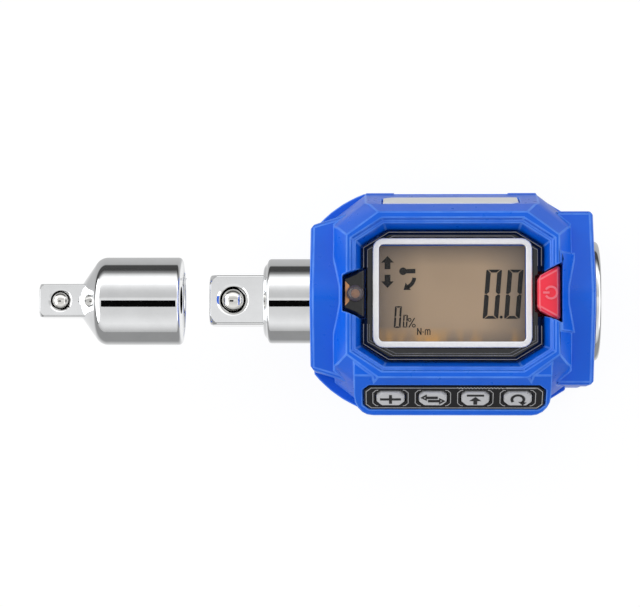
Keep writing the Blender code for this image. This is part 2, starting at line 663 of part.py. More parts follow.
def nameplate_solid(kit, name, grow, low, high, look=None):
    """The nameplate, or the recess for it, lying on the upper side's facet."""
    middle, tilt = nameplate_place()
    half_x, half_y, cut = NAMEPLATE_LENGTH / 2 + grow, NAMEPLATE_WIDTH / 2 + grow, 1.6
    outline = [(half_x, -half_y + cut), (half_x, half_y), (-half_x + cut, half_y),
               (-half_x, half_y - cut), (-half_x, -half_y), (half_x - cut, -half_y)]
    plate = kit.plate(name, outline, low, high, middle, look)
    plate.rotation_euler = Euler((math.pi / 2 - tilt, 0, math.pi), "XYZ")
    return plate


def nameplate_recess(kit):
    """The shallow recess that the nameplate lies in."""
    return nameplate_solid(kit, "nameplate_recess", GAP, -0.7, 3.0)


def spindle(kit, look):
    """The torque-sensing spindle: male square, collar, gauge neck, socket and end flange."""
    face, groove = FEMALE_FACE_X, BORE_RADIUS - LOCK_GROOVE - GAP
    half = MALE_SQUARE / 2
    rim = FLANGE_RADIUS
    profile = [(MALE_ROOT_X, 0), (MALE_ROOT_X, half * 1.36), (COLLAR_X - 0.2, COLLAR_RADIUS - 0.5),
               (COLLAR_X + 0.3, COLLAR_RADIUS),
               (LOCK_X - GAP, COLLAR_RADIUS), (LOCK_X - GAP, groove),
               (-CAVITY_HALF_LENGTH + 0.8, groove), (-CAVITY_HALF_LENGTH + 0.8, COLLAR_RADIUS),
               (NECK_START_X, COLLAR_RADIUS), (NECK_START_X + 2.0, NECK_RADIUS),
               (NECK_END_X - 2.0, NECK_RADIUS), (NECK_END_X, COLLAR_RADIUS),
               (FLANGE_X, COLLAR_RADIUS), (FLANGE_X, rim - 0.3), (FLANGE_X + 0.3, rim),
               (face - 0.9, rim), (face - 0.35, rim - 0.25), (face, rim - 0.9), (face, 0)]
    body = kit.turned("spindle", profile, look=look, steps=48)
    square = bevel(kit.box("male_square", (MALE_TIP_X, -half, -half), (COLLAR_X + 3.0, half, half)), 0.65)
    combine(body, square, "UNION")
    socket = FEMALE_SQUARE / 2
    mouth, lead = socket * LEAD_FLARE, face - LEAD_DEPTH
    detent, ring = face - DETENT_FROM_FACE, socket - 0.2
    flat_low, flat_high = GAUGE_X - FLAT_HALF_LENGTH, GAUGE_X + FLAT_HALF_LENGTH
    cuts = [kit.box("female_square", (face - FEMALE_DEPTH, -socket, -socket), (face + 1, socket, socket)),
            kit.turned("female_lead", [(lead, 0), (lead, mouth), (face + 0.6, mouth + 1.4),
                                       (face + 0.6, 0)]),
            kit.turned("female_detent", [(detent - DETENT_HALF, 0), (detent - DETENT_HALF, ring),
                                         (detent, socket + 0.9), (detent + DETENT_HALF, ring),
                                         (detent + DETENT_HALF, 0)]),
            kit.box("upper_flat", (flat_low, -9, NECK_FLAT), (flat_high, 9, 12)),
            kit.box("lower_flat", (flat_low, -9, -12), (flat_high, 9, -NECK_FLAT)),
            ball_hole(kit, "ball_hole", BALL_X, half, BALL_RADIUS, BALL_PROUD,
                      BALL_HOLE_DEPTH)]
    for cutter in cuts:
        combine(body, cutter)
    return body


def ball_hole(kit, name, x, face, radius, proud, depth):
    """A blind hole whose staked lip keeps a spring-loaded ball in its square."""
    sunk = radius - proud
    lip_depth = sunk * 0.37
    lip = radius - 0.08
    wide = radius + 0.12
    profile = [(-depth, 0), (-depth, wide), (-lip_depth - 0.2, wide), (-lip_depth, lip),
               (-lip_depth + 0.15, lip), (0, lip + lip_depth), (1.0, lip + 1.0 + lip_depth), (1.0, 0)]
    return kit.turned(name, profile, (x, 0, face), upright=True, steps=28)


def ball(kit, name, x, face, radius, proud, look):
    """A detent ball, standing a little out of its square."""
    bm = bmesh.new()
    bmesh.ops.create_uvsphere(bm, u_segments=20, v_segments=12, radius=radius * MM)
    return kit.add(name, smooth(mesh_from(name, bm)), (x, 0, face + proud - radius), look)


def ball_spring(kit, name, x, face, radius, proud, depth, look):
    """The spring between a ball and the floor of its hole."""
    low, high = 0.1, depth + proud - 2 * radius - 0.1
    wire = radius * 0.1
    return kit.coil(name, radius * 0.72, wire, low, high, 2.5, (x, 0, face - depth), look)


def reducer(kit, look):
    """The reducer: a socket for the spindle's square with a smaller square at its tip."""
    mouth, tip = REDUCER_MOUTH_X, REDUCER_TIP_X
    root, full = tip + SMALL_SQUARE_LENGTH, tip + REDUCER_SHOULDER
    radius, half = REDUCER_RADIUS, SMALL_SQUARE / 2
    turn = radius * 0.3
    tangent = math.radians(SHOULDER_ANGLE)
    bend = [(full - turn * math.sin(a), radius - turn * (1 - math.cos(a)))
            for a in (tangent * (1 - i / 4) for i in range(5))]
    foot = bend[0][1] - (bend[0][0] - root) * math.tan(tangent)
    profile = [(root, 0), (root, foot), *bend, (mouth - 0.7, radius), (mouth - 0.2, radius - 0.25),
               (mouth, radius - 0.7), (mouth, 0)]
    body = kit.turned("reducer_body", profile, look=look, steps=48)
    square = kit.box("small_square", (tip, -half, -half), (root + 2.5, half, half))
    combine(body, bevel(square, 0.5), "UNION")
    socket = FEMALE_SQUARE / 2
    ball_z = MALE_SQUARE / 2 + BALL_PROUD - BALL_RADIUS
    way, way_end = BALL_RADIUS + BALL_WAY_CLEARANCE, BALL_X - REDUCER_TRAVEL - BALL_RADIUS - GAP
    lead = socket * LEAD_FLARE
    cuts = [kit.box("reducer_socket", (mouth - SOCKET_DEPTH, -socket, -socket),
                    (mouth + 1, socket, socket)),
            kit.turned("reducer_lead", [(mouth - LEAD_DEPTH, 0), (mouth - LEAD_DEPTH, lead),
                                        (mouth + 0.6, lead + 1.4), (mouth + 0.6, 0)]),
            kit.turned("ball_way", [(way_end, 0), (way_end, way), (mouth + 1.0, way), (mouth + 1.0, 0)],
                       (0, 0, ball_z), steps=24),
            ball_hole(kit, "small_ball_hole", tip + SMALL_BALL_FROM_TIP, half, SMALL_BALL_RADIUS,
                      SMALL_BALL_PROUD, SMALL_BALL_HOLE_DEPTH)]
    for cutter in cuts:
        combine(body, cutter)
    return body


def display(kit, looks):
    """Bezel, frame, lens, crystal and light guide, from the top of the well down."""
    half_x, half_y = BEZEL_HALF_LENGTH, BEZEL_HALF_WIDTH
    bezel = kit.loft("display_bezel", [
        at_height(octagon(half_x, half_y, BEZEL_CORNER_X, BEZEL_CORNER_Y), BEZEL_BOTTOM),
        at_height(octagon(half_x, half_y, BEZEL_CORNER_X, BEZEL_CORNER_Y), BEZEL_TOP - 0.9),
        at_height(octagon(half_x - 0.9, half_y - 0.6, BEZEL_CORNER_X - 0.4, BEZEL_CORNER_Y - 0.3),
                  BEZEL_TOP)], look=looks["black"])
    middle = (0, FRAME_Y)
    frame = (FRAME_LENGTH / 2, FRAME_WIDTH / 2)
    window = (frame[0] - FRAME_RIM, frame[1] - FRAME_RIM)
    lens = (window[0] + 0.55, window[1] + 0.55)
    ledge = BEZEL_TOP - FRAME_THICKNESS - 0.2
    for cutter in (
            kit.plate("frame_seat", rounded(frame[0] + 0.1, frame[1] + 0.1, 2.1, middle), ledge, 25),
            kit.plate("lens_opening", rounded(lens[0] + GAP, lens[1] + GAP, 1.5, middle), DECK_TOP - 1, 25),
            kit.plate("bezel_button_notch", trapezoid(BUTTON_INNER_X, BUTTON_OUTER_X, BUTTON_INNER_HALF,
                                                      BUTTON_OUTER_HALF, GAP), DECK_TOP - 1, 25),
            kit.plate("bezel_lamp_notch", trapezoid(LAMP_INNER_X, LAMP_OUTER_X, LAMP_INNER_HALF,
                                                    LAMP_OUTER_HALF, GAP), DECK_TOP - 1, 25)):
        combine(bezel, cutter)
    kit.plate("display_frame", rounded(*frame, 2.0, middle), ledge + GAP, ledge + GAP + FRAME_THICKNESS,
              look=looks["silver"], holes=[rounded(*window, 0.8, middle)])
    kit.plate("display_lens", rounded(*lens, 1.3, middle), BEZEL_BOTTOM, BEZEL_BOTTOM + LENS_THICKNESS,
              look=looks["clear"])
    glass = (BUTTON_INNER_X - 1.1, FRAME_WIDTH / 2)
    glass_top = ROOF_HEIGHT - GAP
    kit.box("lcd_panel", (-glass[0], FRAME_Y - glass[1], glass_top - LCD_THICKNESS),
            (glass[0], FRAME_Y + glass[1], glass_top), look=looks["crystal"])
    board_top = BOARD_Z + BOARD_THICKNESS
    kit.box("light_guide", (-glass[0], FRAME_Y - glass[1], board_top + GAP),
            (glass[0], FRAME_Y + glass[1], glass_top - LCD_THICKNESS - GAP), look=looks["white"])


def power_button(kit, look):
    """The red power button, whose flange keeps it under the deck."""
    top = ROOF_HEIGHT - GAP
    sizes = (BUTTON_INNER_X, BUTTON_OUTER_X, BUTTON_INNER_HALF, BUTTON_OUTER_HALF)
    button = kit.plate("power_button", trapezoid(*sizes), top - 0.4, BUTTON_TOP, look=look)
    bevel(button, 0.55, angle=20)
    combine(button, kit.plate("button_flange", trapezoid(*sizes, GAP * 2), top - 0.8, top), "UNION")
    return recentre(button, ((BUTTON_INNER_X + BUTTON_OUTER_X) / 2, CONTROL_Y, top - 0.8))


def recentre(obj, origin):
    """Move an object's origin without moving its mesh."""
    shift = (Vector(origin) + Vector((0, 0, AXIS_HEIGHT))) * MM - obj.location
    for vertex in obj.data.vertices:
        vertex.co -= shift
    obj.location += shift
    return obj


def signal_lamp(kit, looks):
    """The signal lamp and the black holder round it."""
    holder_top = BEZEL_TOP + 0.9
    holder = kit.plate("lamp_holder", trapezoid(LAMP_INNER_X, LAMP_OUTER_X, LAMP_INNER_HALF,
                                                LAMP_OUTER_HALF), BEZEL_BOTTOM, holder_top,
                       look=looks["black"])
    bevel(holder, 0.35, angle=20)
    combine(holder, kit.rod("lamp_way", LAMP_RADIUS + 0.2, DECK_TOP, 22, (LAMP_X, CONTROL_Y, 0)))
    low, head = BOARD_Z + BOARD_THICKNESS + GAP, holder_top + GAP
    wide = LAMP_RADIUS + 0.3
    kit.turned("signal_lamp", [(low, 0), (low, LAMP_RADIUS), (head, LAMP_RADIUS), (head, wide),
                               (head + 0.3, wide), (head + 0.8, wide * 0.8), (head + 1.1, wide * 0.4),
                               (head + 1.2, 0)],
               (LAMP_X, CONTROL_Y, 0), looks["clear"], steps=20, upright=True)


def keypad(kit, looks):
    """The keypad's plate, its keys, and the switches and board behind them."""
    outline = octagon(KEYPAD_LENGTH / 2, KEYPAD_WIDTH / 2, 1.1, 1.1)
    overlay = on_facet(kit.plate("keypad_overlay", outline, -OVERLAY_THICKNESS, 0, KEYPAD_CENTRE,
                                 looks["pad"]))
    for hole in key_holes(kit, "overlay_key_hole", -3.0, 0.2):
        combine(overlay, hole)
    flange_top = -OVERLAY_THICKNESS - GAP - KEYPAD_WALL - GAP
    flange_low = flange_top - KEY_FLANGE
    switch_low = flange_low - KEY_TRAVEL - SWITCH_SLACK - SWITCH_HEIGHT
    for i, x in enumerate(key_places()):
        at = facet(x, 0, 0)
        key = on_facet(kit.plate("key_" + KEY_NAMES[i], octagon(KEY_LENGTH / 2, KEY_WIDTH / 2, KEY_CORNER,
                                                                KEY_CORNER), flange_low, KEY_PROUD, at,
                                 looks["key"]))
        bevel(key, 0.2)
        flange = octagon(KEY_LENGTH / 2 + 2 * GAP, KEY_WIDTH / 2 + 0.45, KEY_CORNER, KEY_CORNER)
        combine(key, on_facet(kit.plate(f"key_flange_{i}", flange, flange_low, flange_top, at)), "UNION")
        on_facet(kit.box(f"key_switch_{i + 1}", (-SWITCH_HALF_X, -SWITCH_HALF_Y, switch_low),
                         (SWITCH_HALF_X, SWITCH_HALF_Y, switch_low + SWITCH_HEIGHT), at,
                         looks["switch"]))
    board_half, board_top = KEYPAD_LENGTH / 2 - 1.0, switch_low - GAP
    on_facet(kit.box("keypad_board", (-board_half, KEYPAD_BOARD_LOW, board_top - KEYPAD_BOARD_THICKNESS),
                     (board_half, KEYPAD_BOARD_HIGH, board_top), KEYPAD_CENTRE, looks["board"]))


def electronics(kit, looks):
    """Main board, power switch, buzzer and the gauges on the spindle's neck."""
    board = octagon(CAVITY_HALF_LENGTH - 1.1, BOARD_HALF_WIDTH, BOARD_CORNER_X, BOARD_CORNER_Y)
    board_top = BOARD_Z + BOARD_THICKNESS
    kit.plate("main_board", board, BOARD_Z, board_top, look=looks["board"])
    button_x = (BUTTON_INNER_X + BUTTON_OUTER_X) / 2
    switch_top = ROOF_HEIGHT - GAP - 0.8 - BUTTON_TRAVEL - 0.2
    reach = SWITCH_HALF_X
    kit.box("power_switch", (button_x - reach, CONTROL_Y - reach, board_top + GAP),
            (button_x + reach, CONTROL_Y + reach, switch_top), look=looks["switch"])
    top = BOARD_Z - GAP
    kit.rod("buzzer", BUZZER_RADIUS, top - BUZZER_HEIGHT, top, (0, BUZZER_Y, 0), looks["black"])
    for name, low in (("strain_gauge_upper", NECK_FLAT + GAP),
                      ("strain_gauge_lower", -NECK_FLAT - GAP - GAUGE_THICKNESS)):
        kit.box(name, (-GAUGE_HALF_LENGTH, -GAUGE_HALF_WIDTH, low),
                (GAUGE_HALF_LENGTH, GAUGE_HALF_WIDTH, low + GAUGE_THICKNESS), (GAUGE_X, 0, 0),
                looks["gauge"])


def seals(kit, look):
    """The rubber ring round the spindle in each end block."""
    radius = SEAL_RADIUS
    for name, side in (("seal_male_end", -1), ("seal_female_end", 1)):
        centre = BORE_RADIUS + radius
        ring = [(radius * math.cos(a), centre + radius * math.sin(a))
                for a in (math.pi - 2 * math.pi * i / 10 for i in range(10))]
        kit.turned(name, ring, (side * SEAL_X, 0, 0), look, steps=40)


def cells(kit, looks):
    """Two cells side by side, the contacts at their ends and the cover below them."""
    half, radius = CELL_LENGTH / 2, CELL_RADIUS
    outline = [(-half, 0), (-half, radius - 0.6), (-half + 0.3, radius), (half - 1.0, radius),
               (half - 0.7, radius - 0.4), (half - 0.7, 1.9), (half, 1.9), (half, 0)]
    for i, side in enumerate((1, -1)):
        profile = outline if side == 1 else [(-x, r) for x, r in reversed(outline)]
        kit.turned(f"cell_{i + 1}", profile, (0, side * CELL_Y, CELL_Z), looks["cell"], steps=24)
    near = half + 0.35
    far = near + CONTACT_THICKNESS
    low, high = CELL_Z + CONTACT_LOW, CELL_Z + CONTACT_HIGH
    reach, inner = CELL_Y + CONTACT_WIDTH / 2, CELL_Y - CONTACT_WIDTH / 2
    kit.box("contact_bridge", (-far, -reach, low), (-near, reach, high), look=looks["steel"])
    kit.box("contact_plus", (near, inner, low), (far, reach, high), look=looks["steel"])
    kit.box("contact_minus", (near, -reach, low), (far, -inner, high), look=looks["steel"])


def battery_cover(kit, looks):
    """The cover of the cell bay, held by one countersunk screw in its ear."""
    low = -AXIS_HEIGHT
    high = low + COVER_THICKNESS
    half = (BAY_HALF_LENGTH + COVER_LIP, BAY_HALF_WIDTH + COVER_LIP)
    cover = kit.box("battery_cover", (-half[0], -half[1], low), (*half, high), look=looks["blue"])
    combine(cover, kit.rod("cover_ear", COVER_EAR, low, high, (0, COVER_SCREW_Y, 0)), "UNION")
    head, shank = COVER_SCREW_HEAD, COVER_SCREW_RADIUS
    sunk, tip = low + COVER_SCREW_SINK, low + COVER_SCREW_LENGTH
    way = shank + 0.2
    sink = kit.turned("cover_countersink",
                      [(low - 1, 0), (low - 1, head + 1.0), (low, head + 0.2), (sunk, way),
                       (high + 1, way), (high + 1, 0)],
                      (0, COVER_SCREW_Y, 0), upright=True, steps=24)
    combine(cover, sink)
    kit.turned("battery_cover_screw", [(low, 0), (low, head), (sunk, shank), (tip - 0.4, shank),
                                       (tip, 0.6), (tip, 0)],
               (0, COVER_SCREW_Y, 0), looks["steel"], steps=20, upright=True)


def case_screws(kit, look):
    """The four screws that hold the shells together, driven from the back."""
    seat = SCREW_SEAT_Z - GAP
    low = seat - SCREW_HEAD_HEIGHT
    for i, (sx, sy) in enumerate(corners()):
        kit.turned(f"case_screw_{i + 1}",
                   [(low, 0), (low, SCREW_HEAD_RADIUS - 0.3), (low + 0.3, SCREW_HEAD_RADIUS),
                    (seat, SCREW_HEAD_RADIUS), (seat, SCREW_RADIUS), (SCREW_TIP_Z - 0.5, SCREW_RADIUS),
                    (SCREW_TIP_Z, 0.6), (SCREW_TIP_Z, 0)],
                   (sx * SCREW_X, sy * SCREW_Y, 0), look, steps=16, upright=True)


def make_looks():
    """The plain materials of the pieces."""
    return {
        "blue": material("blue_plastic", (0.02, 0.09, 0.62), 0.42),
        "black": material("gloss_black_plastic", (0.012, 0.012, 0.014), 0.15),
        "silver": material("silver_frame", (0.75, 0.75, 0.76), 0.25, 1.0),
        "clear": material("clear_plastic", (0.9, 0.9, 0.88), 0.05, 0.0, 0.35),
        "crystal": material("liquid_crystal", (0.42, 0.3, 0.2), 0.2),
        "white": material("white_light_guide", (0.9, 0.9, 0.85), 0.4),
        "red": material("red_plastic", (0.78, 0.02, 0.05), 0.35),
        "pad": material("dark_keypad", (0.035, 0.035, 0.04), 0.4),
        "key": material("grey_key", (0.55, 0.55, 0.56), 0.4),
        "switch": material("switch_body", (0.1, 0.1, 0.1), 0.5),
        "board": material("circuit_board", (0.02, 0.22, 0.08), 0.5),
        "gauge": material("gauge_film", (0.55, 0.35, 0.08), 0.4),
        "plate": material("satin_nameplate", (0.52, 0.55, 0.52), 0.35, 1.0),
        "chrome": material("chrome", (0.86, 0.87, 0.88), 0.06, 1.0),
        "steel": material("bright_steel", (0.6, 0.6, 0.6), 0.3, 1.0),
        "rubber": material("black_rubber", (0.02, 0.02, 0.02), 0.8),
        "cell": material("plain_cell", (0.3, 0.3, 0.32), 0.35, 0.6),
    }


def main():
    """Clear the scene and build the adapter."""
    for obj in list(bpy.data.objects):
        bpy.data.objects.remove(obj)
    kit = Kit()
    looks = make_looks()
    front_shell(kit, looks["blue"])
    rear_shell(kit, looks["blue"])
    display(kit, looks)
    signal_lamp(kit, looks)
    power_button(kit, looks["red"])
    keypad(kit, looks)
    nameplate_solid(kit, "nameplate", 0, -0.4, 0.1, looks["plate"])
    electronics(kit, looks)
    spindle(kit, looks["chrome"])
    ball(kit, "drive_ball", BALL_X, MALE_SQUARE / 2, BALL_RADIUS, BALL_PROUD, looks["chrome"])
    ball_spring(kit, "drive_ball_spring", BALL_X, MALE_SQUARE / 2, BALL_RADIUS, BALL_PROUD,
                BALL_HOLE_DEPTH, looks["steel"])
    reducer(kit, looks["chrome"])
    small_x = REDUCER_TIP_X + SMALL_BALL_FROM_TIP
    ball(kit, "reducer_ball", small_x, SMALL_SQUARE / 2, SMALL_BALL_RADIUS, SMALL_BALL_PROUD,
         looks["chrome"])
    ball_spring(kit, "reducer_ball_spring", small_x, SMALL_SQUARE / 2, SMALL_BALL_RADIUS,
                SMALL_BALL_PROUD, SMALL_BALL_HOLE_DEPTH, looks["steel"])
    seals(kit, looks["rubber"])
    cells(kit, looks)
    battery_cover(kit, looks)
    case_screws(kit, looks["steel"])


main()
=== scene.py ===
"""Looks for a digital torque adapter and its reducer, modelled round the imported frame."""

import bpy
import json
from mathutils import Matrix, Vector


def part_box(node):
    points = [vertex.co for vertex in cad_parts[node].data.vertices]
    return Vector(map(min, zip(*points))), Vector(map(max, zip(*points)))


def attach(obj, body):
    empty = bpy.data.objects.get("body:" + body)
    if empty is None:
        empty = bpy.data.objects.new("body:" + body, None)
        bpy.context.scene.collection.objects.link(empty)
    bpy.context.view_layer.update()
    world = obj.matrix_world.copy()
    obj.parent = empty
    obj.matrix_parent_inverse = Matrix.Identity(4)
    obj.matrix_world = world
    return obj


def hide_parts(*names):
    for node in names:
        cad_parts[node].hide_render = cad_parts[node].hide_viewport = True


bl_info = {
    "name": "Torque Adapter Looks",
    "version": (1, 0, 0),
    "blender": (4, 5, 0),
    "location": "View3D > Sidebar > Adapter",
    "description": "Models the finishes, chrome pieces, display figures and keys of a torque adapter",
    "category": "Object",
}

import json
import math

import bpy
from bpy.props import FloatProperty, FloatVectorProperty, IntProperty, PointerProperty
from mathutils import Matrix, Vector

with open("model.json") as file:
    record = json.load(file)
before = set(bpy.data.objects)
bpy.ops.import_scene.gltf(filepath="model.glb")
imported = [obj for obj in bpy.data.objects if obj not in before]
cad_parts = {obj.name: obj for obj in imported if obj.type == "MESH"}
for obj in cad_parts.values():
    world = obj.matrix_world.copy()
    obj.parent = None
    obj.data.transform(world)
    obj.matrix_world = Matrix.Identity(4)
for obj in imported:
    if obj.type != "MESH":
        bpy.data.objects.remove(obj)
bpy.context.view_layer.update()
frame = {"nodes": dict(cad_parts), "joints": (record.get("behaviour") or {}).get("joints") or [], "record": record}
NODES = frame["nodes"]
MM = 0.001
AXIS_Z = sum(corner[2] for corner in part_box("reducer_body")) / 2
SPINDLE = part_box("spindle")
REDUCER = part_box("reducer_body")
# half widths of the 3/8 inch square, the 1/4 inch square and the 3/8 inch socket
MALE_HALF = 9.53 * MM / 2
SMALL_HALF = 6.35 * MM / 2
SOCKET_HALF = 4.85 * MM


def srgb(red, green, blue):
    """A colour as a screen shows it, 0 to 255, in Blender's linear values."""
    return tuple((c / 255 / 12.92) if c <= 10 else ((c / 255 + 0.055) / 1.055) ** 2.4
                 for c in (red, green, blue))


def tint(name, description, *screen):
    """A colour setting, with its default as a screen shows it."""
    return FloatVectorProperty(name=name, description=description, subtype="COLOR", size=3,
                               default=srgb(*screen))


class AdapterColours(bpy.types.PropertyGroup):
    """The colours of the adapter's finishes."""

    housing: tint("Housing", "Moulded blue of the two shells", 0, 97, 224)
    button: tint("Power button", "Red of the power button", 250, 56, 76)
    crystal: tint("Display", "Warm tan of the lit liquid crystal", 172, 148, 122)
    glow: tint("Display glow", "Amber light that leaks in at the lower edge", 240, 176, 84)
    segment: tint("Segments", "Dark figures of the display", 10, 8, 8)
    keypad: tint("Keypad", "Charcoal of the keypad's plate", 20, 20, 23)
    key: tint("Keys", "Pale grey of the keys", 196, 197, 200)
    chrome: tint("Chrome", "Tint of the plated steel", 232, 233, 234)


class AdapterSizes(bpy.types.PropertyGroup):
    """Small sizes that the finish adds to the solids."""

    housing_edge: FloatProperty(name="Housing edge", description="Rounding of the shells' moulded edges",
                                default=0.24 * MM, unit="LENGTH")
    fine_edge: FloatProperty(name="Fine edge", description="Rounding of small pieces' edges",
                             default=0.09 * MM, unit="LENGTH")
    figure_height: FloatProperty(name="Figure height", description="Thickness of the display's figures",
                                 default=0.05 * MM, unit="LENGTH")
    print_height: FloatProperty(name="Print height", description="Thickness of the lines on keys and keypad",
                                default=0.06 * MM, unit="LENGTH")
    turned_sides: IntProperty(name="Turned sides", description="Sides of the turned chrome pieces",
                              default=128)


class AdapterStage(bpy.types.PropertyGroup):
    """Camera and light."""

    camera_height: FloatProperty(name="Camera height", description="Camera above the spindle's axis",
                                 default=480 * MM, unit="LENGTH")
    lens: FloatProperty(name="Lens", description="Focal length in millimetres", default=139.0)
    key_power: FloatProperty(name="Key light", description="Power that all four softboxes take shares of",
                             default=1.7, unit="POWER")
    room_light: FloatProperty(name="Room light", description="Brightness of the white room", default=0.42)


def middle_of(node):
    """The centre of a node's box."""
    return [(low + high) / 2 for low, high in zip(*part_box(node))]


def settings():
    """The panel's values in the open scene."""
    scene = bpy.context.scene
    return scene.adapter_colours, scene.adapter_sizes, scene.adapter_stage


class Wire:
    """One socket of a material, with Python's operators for its sums."""

    def __init__(self, paint, socket):
        self.paint = paint
        self.socket = socket

    def math(self, operation, other):
        return self.paint.node("ShaderNodeMath", {"operation": operation}, {0: self, 1: other})

    def __add__(self, other):
        return self.math("ADD", other)

    def __mul__(self, other):
        return self.math("MULTIPLY", other)


class Paint:
    """A material under construction."""

    def __init__(self, name, **constants):
        self.material = bpy.data.materials.new(name)
        self.material.use_nodes = True
        self.tree = self.material.node_tree
        self.shader = self.tree.nodes["Principled BSDF"]
        for socket, value in constants.items():
            self.shader.inputs[socket.replace("_", " ")].default_value = value
        self.place = self.node("ShaderNodeTexCoord", out="Object")

    def node(self, kind, options=None, inputs=None, out=0):
        """Add a node with its settings first, then its sockets, and return one output."""
        made = self.tree.nodes.new(kind)
        for option, value in (options or {}).items():
            if option == "stops":
                ramp = made.color_ramp
                for place, _ in value[2:]:
                    ramp.elements.new(place)
                for stop, (place, colour) in zip(ramp.elements, sorted(value)):
                    stop.position = place
                    stop.color = (*colour, 1.0)
            else:
                setattr(made, option, value)
        for socket, value in (inputs or {}).items():
            if isinstance(value, Wire):
                self.tree.links.new(value.socket, made.inputs[socket])
            else:
                made.inputs[socket].default_value = value
        return Wire(self, made.outputs[out])

    def feed(self, **links):
        """Link values to the shader's own sockets."""
        for socket, wire in links.items():
            self.tree.links.new(wire.socket, self.shader.inputs[socket.replace("_", " ")])

    def noise(self, scale, detail=3.0, roughness=0.5, place=None):
        """Noise over the object coordinates, or over others."""
        return self.node("ShaderNodeTexNoise", None,
                         {"Vector": place or self.place, "Scale": scale, "Detail": detail,
                          "Roughness": roughness})

    def stretched(self, along_x, along_y, along_z):
        """Object coordinates scaled by different amounts, for brushed or drawn marks."""
        return self.node("ShaderNodeMapping", None,
                         {"Vector": self.place, "Scale": (along_x, along_y, along_z)})

    def span(self, value, low, high, to_low=0.0, to_high=1.0):
        """A value carried from one range to another, held at both ends."""
        return self.node("ShaderNodeMapRange", None, {"Value": value, "From Min": low, "From Max": high,
                                                      "To Min": to_low, "To Max": to_high})

    def axis(self, name):
        """One of the three object coordinates."""
        return self.node("ShaderNodeSeparateXYZ", None, {"Vector": self.place}, name)

    def mix(self, factor, first, second):
        """Two colours, blended by a factor."""
        first = first if isinstance(first, Wire) else (*first, 1.0)
        second = second if isinstance(second, Wire) else (*second, 1.0)
        return self.node("ShaderNodeMix", {"data_type": "RGBA"}, {0: factor, 6: first, 7: second}, 2)

    def bump(self, height, strength, distance):
        """Small relief, for the shader's Normal."""
        return self.node("ShaderNodeBump", None, {"Height": height, "Strength": strength,
                                                  "Distance": distance})


def shade(colour, amount):
    """A colour made darker or lighter."""
    return tuple(min(1.0, channel * amount) for channel in colour)


def moulded(name, colour, roughness=0.3, grain=0.08, edge=None):
    """Moulded plastic: fine spark grain, slight mottling, drifting gloss, and paler rounded edges: a painted
    highlight along the rounded strips, partly edge wear, broken up by noise.
    """
    paint = Paint(name, Specular_IOR_Level=0.32)
    clouds = paint.noise(90.0, 3.0)
    fine = paint.noise(2600.0, 1.0, 0.4)
    body = paint.mix(paint.span(clouds, 0.3, 0.7), shade(colour, 0.95), shade(colour, 1.05))
    # painted highlight, partly edge wear: the marked edge strips are blended towards the paler edge colour in
    # patches
    if edge:
        strip = paint.node("ShaderNodeAttribute", {"attribute_name": "edge"}, out="Fac")
        wear_and_edge_highlight = paint.span(paint.noise(260.0, 3.0), 0.3, 0.7, 0.3, 0.75)
        body = paint.mix(strip * wear_and_edge_highlight, body, edge)
    paint.feed(Base_Color=body,
               Roughness=paint.span(paint.noise(600.0, 3.0), 0.3, 0.7, roughness - 0.03, roughness + 0.04),
               Normal=paint.bump(fine, grain, 0.00001))
    return paint.material


def glossy(name, colour, roughness):
    """Polished plastic with a little dust in its gloss."""
    paint = Paint(name, Specular_IOR_Level=0.6)
    dust = paint.noise(1500.0, 4.0, 0.7)
    paint.feed(Base_Color=paint.mix(paint.span(dust, 0.55, 0.8), colour, shade(colour, 2.0)),
               Roughness=paint.span(dust, 0.4, 0.75, roughness, roughness + 0.12))
    return paint.material


def chromed(name, colour, roughness=0.02):
    """Chrome plate over polished steel, with faint turning marks and haze."""
    paint = Paint(name, Metallic=1.0)
    marks = paint.noise(60.0, 4.0, 0.6, paint.stretched(30.0, 1.0, 1.0))
    haze = paint.noise(240.0, 4.0, 0.6)
    paint.feed(Base_Color=paint.mix(paint.span(haze, 0.35, 0.7), colour, shade(colour, 0.94)),
               Roughness=paint.span(haze, 0.3, 0.75, roughness, roughness + 0.03),
               Normal=paint.bump(marks, 0.04, 0.00002))
    return paint.material


def brushed(name, colour, roughness=0.3, along=(1.0, 40.0, 40.0), metal=1.0):
    """Satin metal with fine drawn lines."""
    paint = Paint(name, Metallic=metal)
    lines = paint.noise(160.0, 4.0, 0.6, paint.stretched(*along))
    paint.feed(Base_Color=paint.mix(paint.span(lines, 0.3, 0.7), shade(colour, 0.95), colour),
               Roughness=paint.span(lines, 0.3, 0.7, roughness - 0.06, roughness + 0.08),
               Normal=paint.bump(lines, 0.08, 0.00003))
    return paint.material


def board_green(name):
    """Solder-masked board with a faint trace pattern."""
    paint = Paint(name, Roughness=0.35)
    traces = paint.node("ShaderNodeTexBrick", {"offset": 0.5},
                        {"Vector": paint.place, "Scale": 900.0, "Mortar Size": 0.05}, "Fac")
    paint.feed(Base_Color=paint.mix(traces, srgb(16, 92, 48), srgb(40, 128, 70)))
    return paint.material


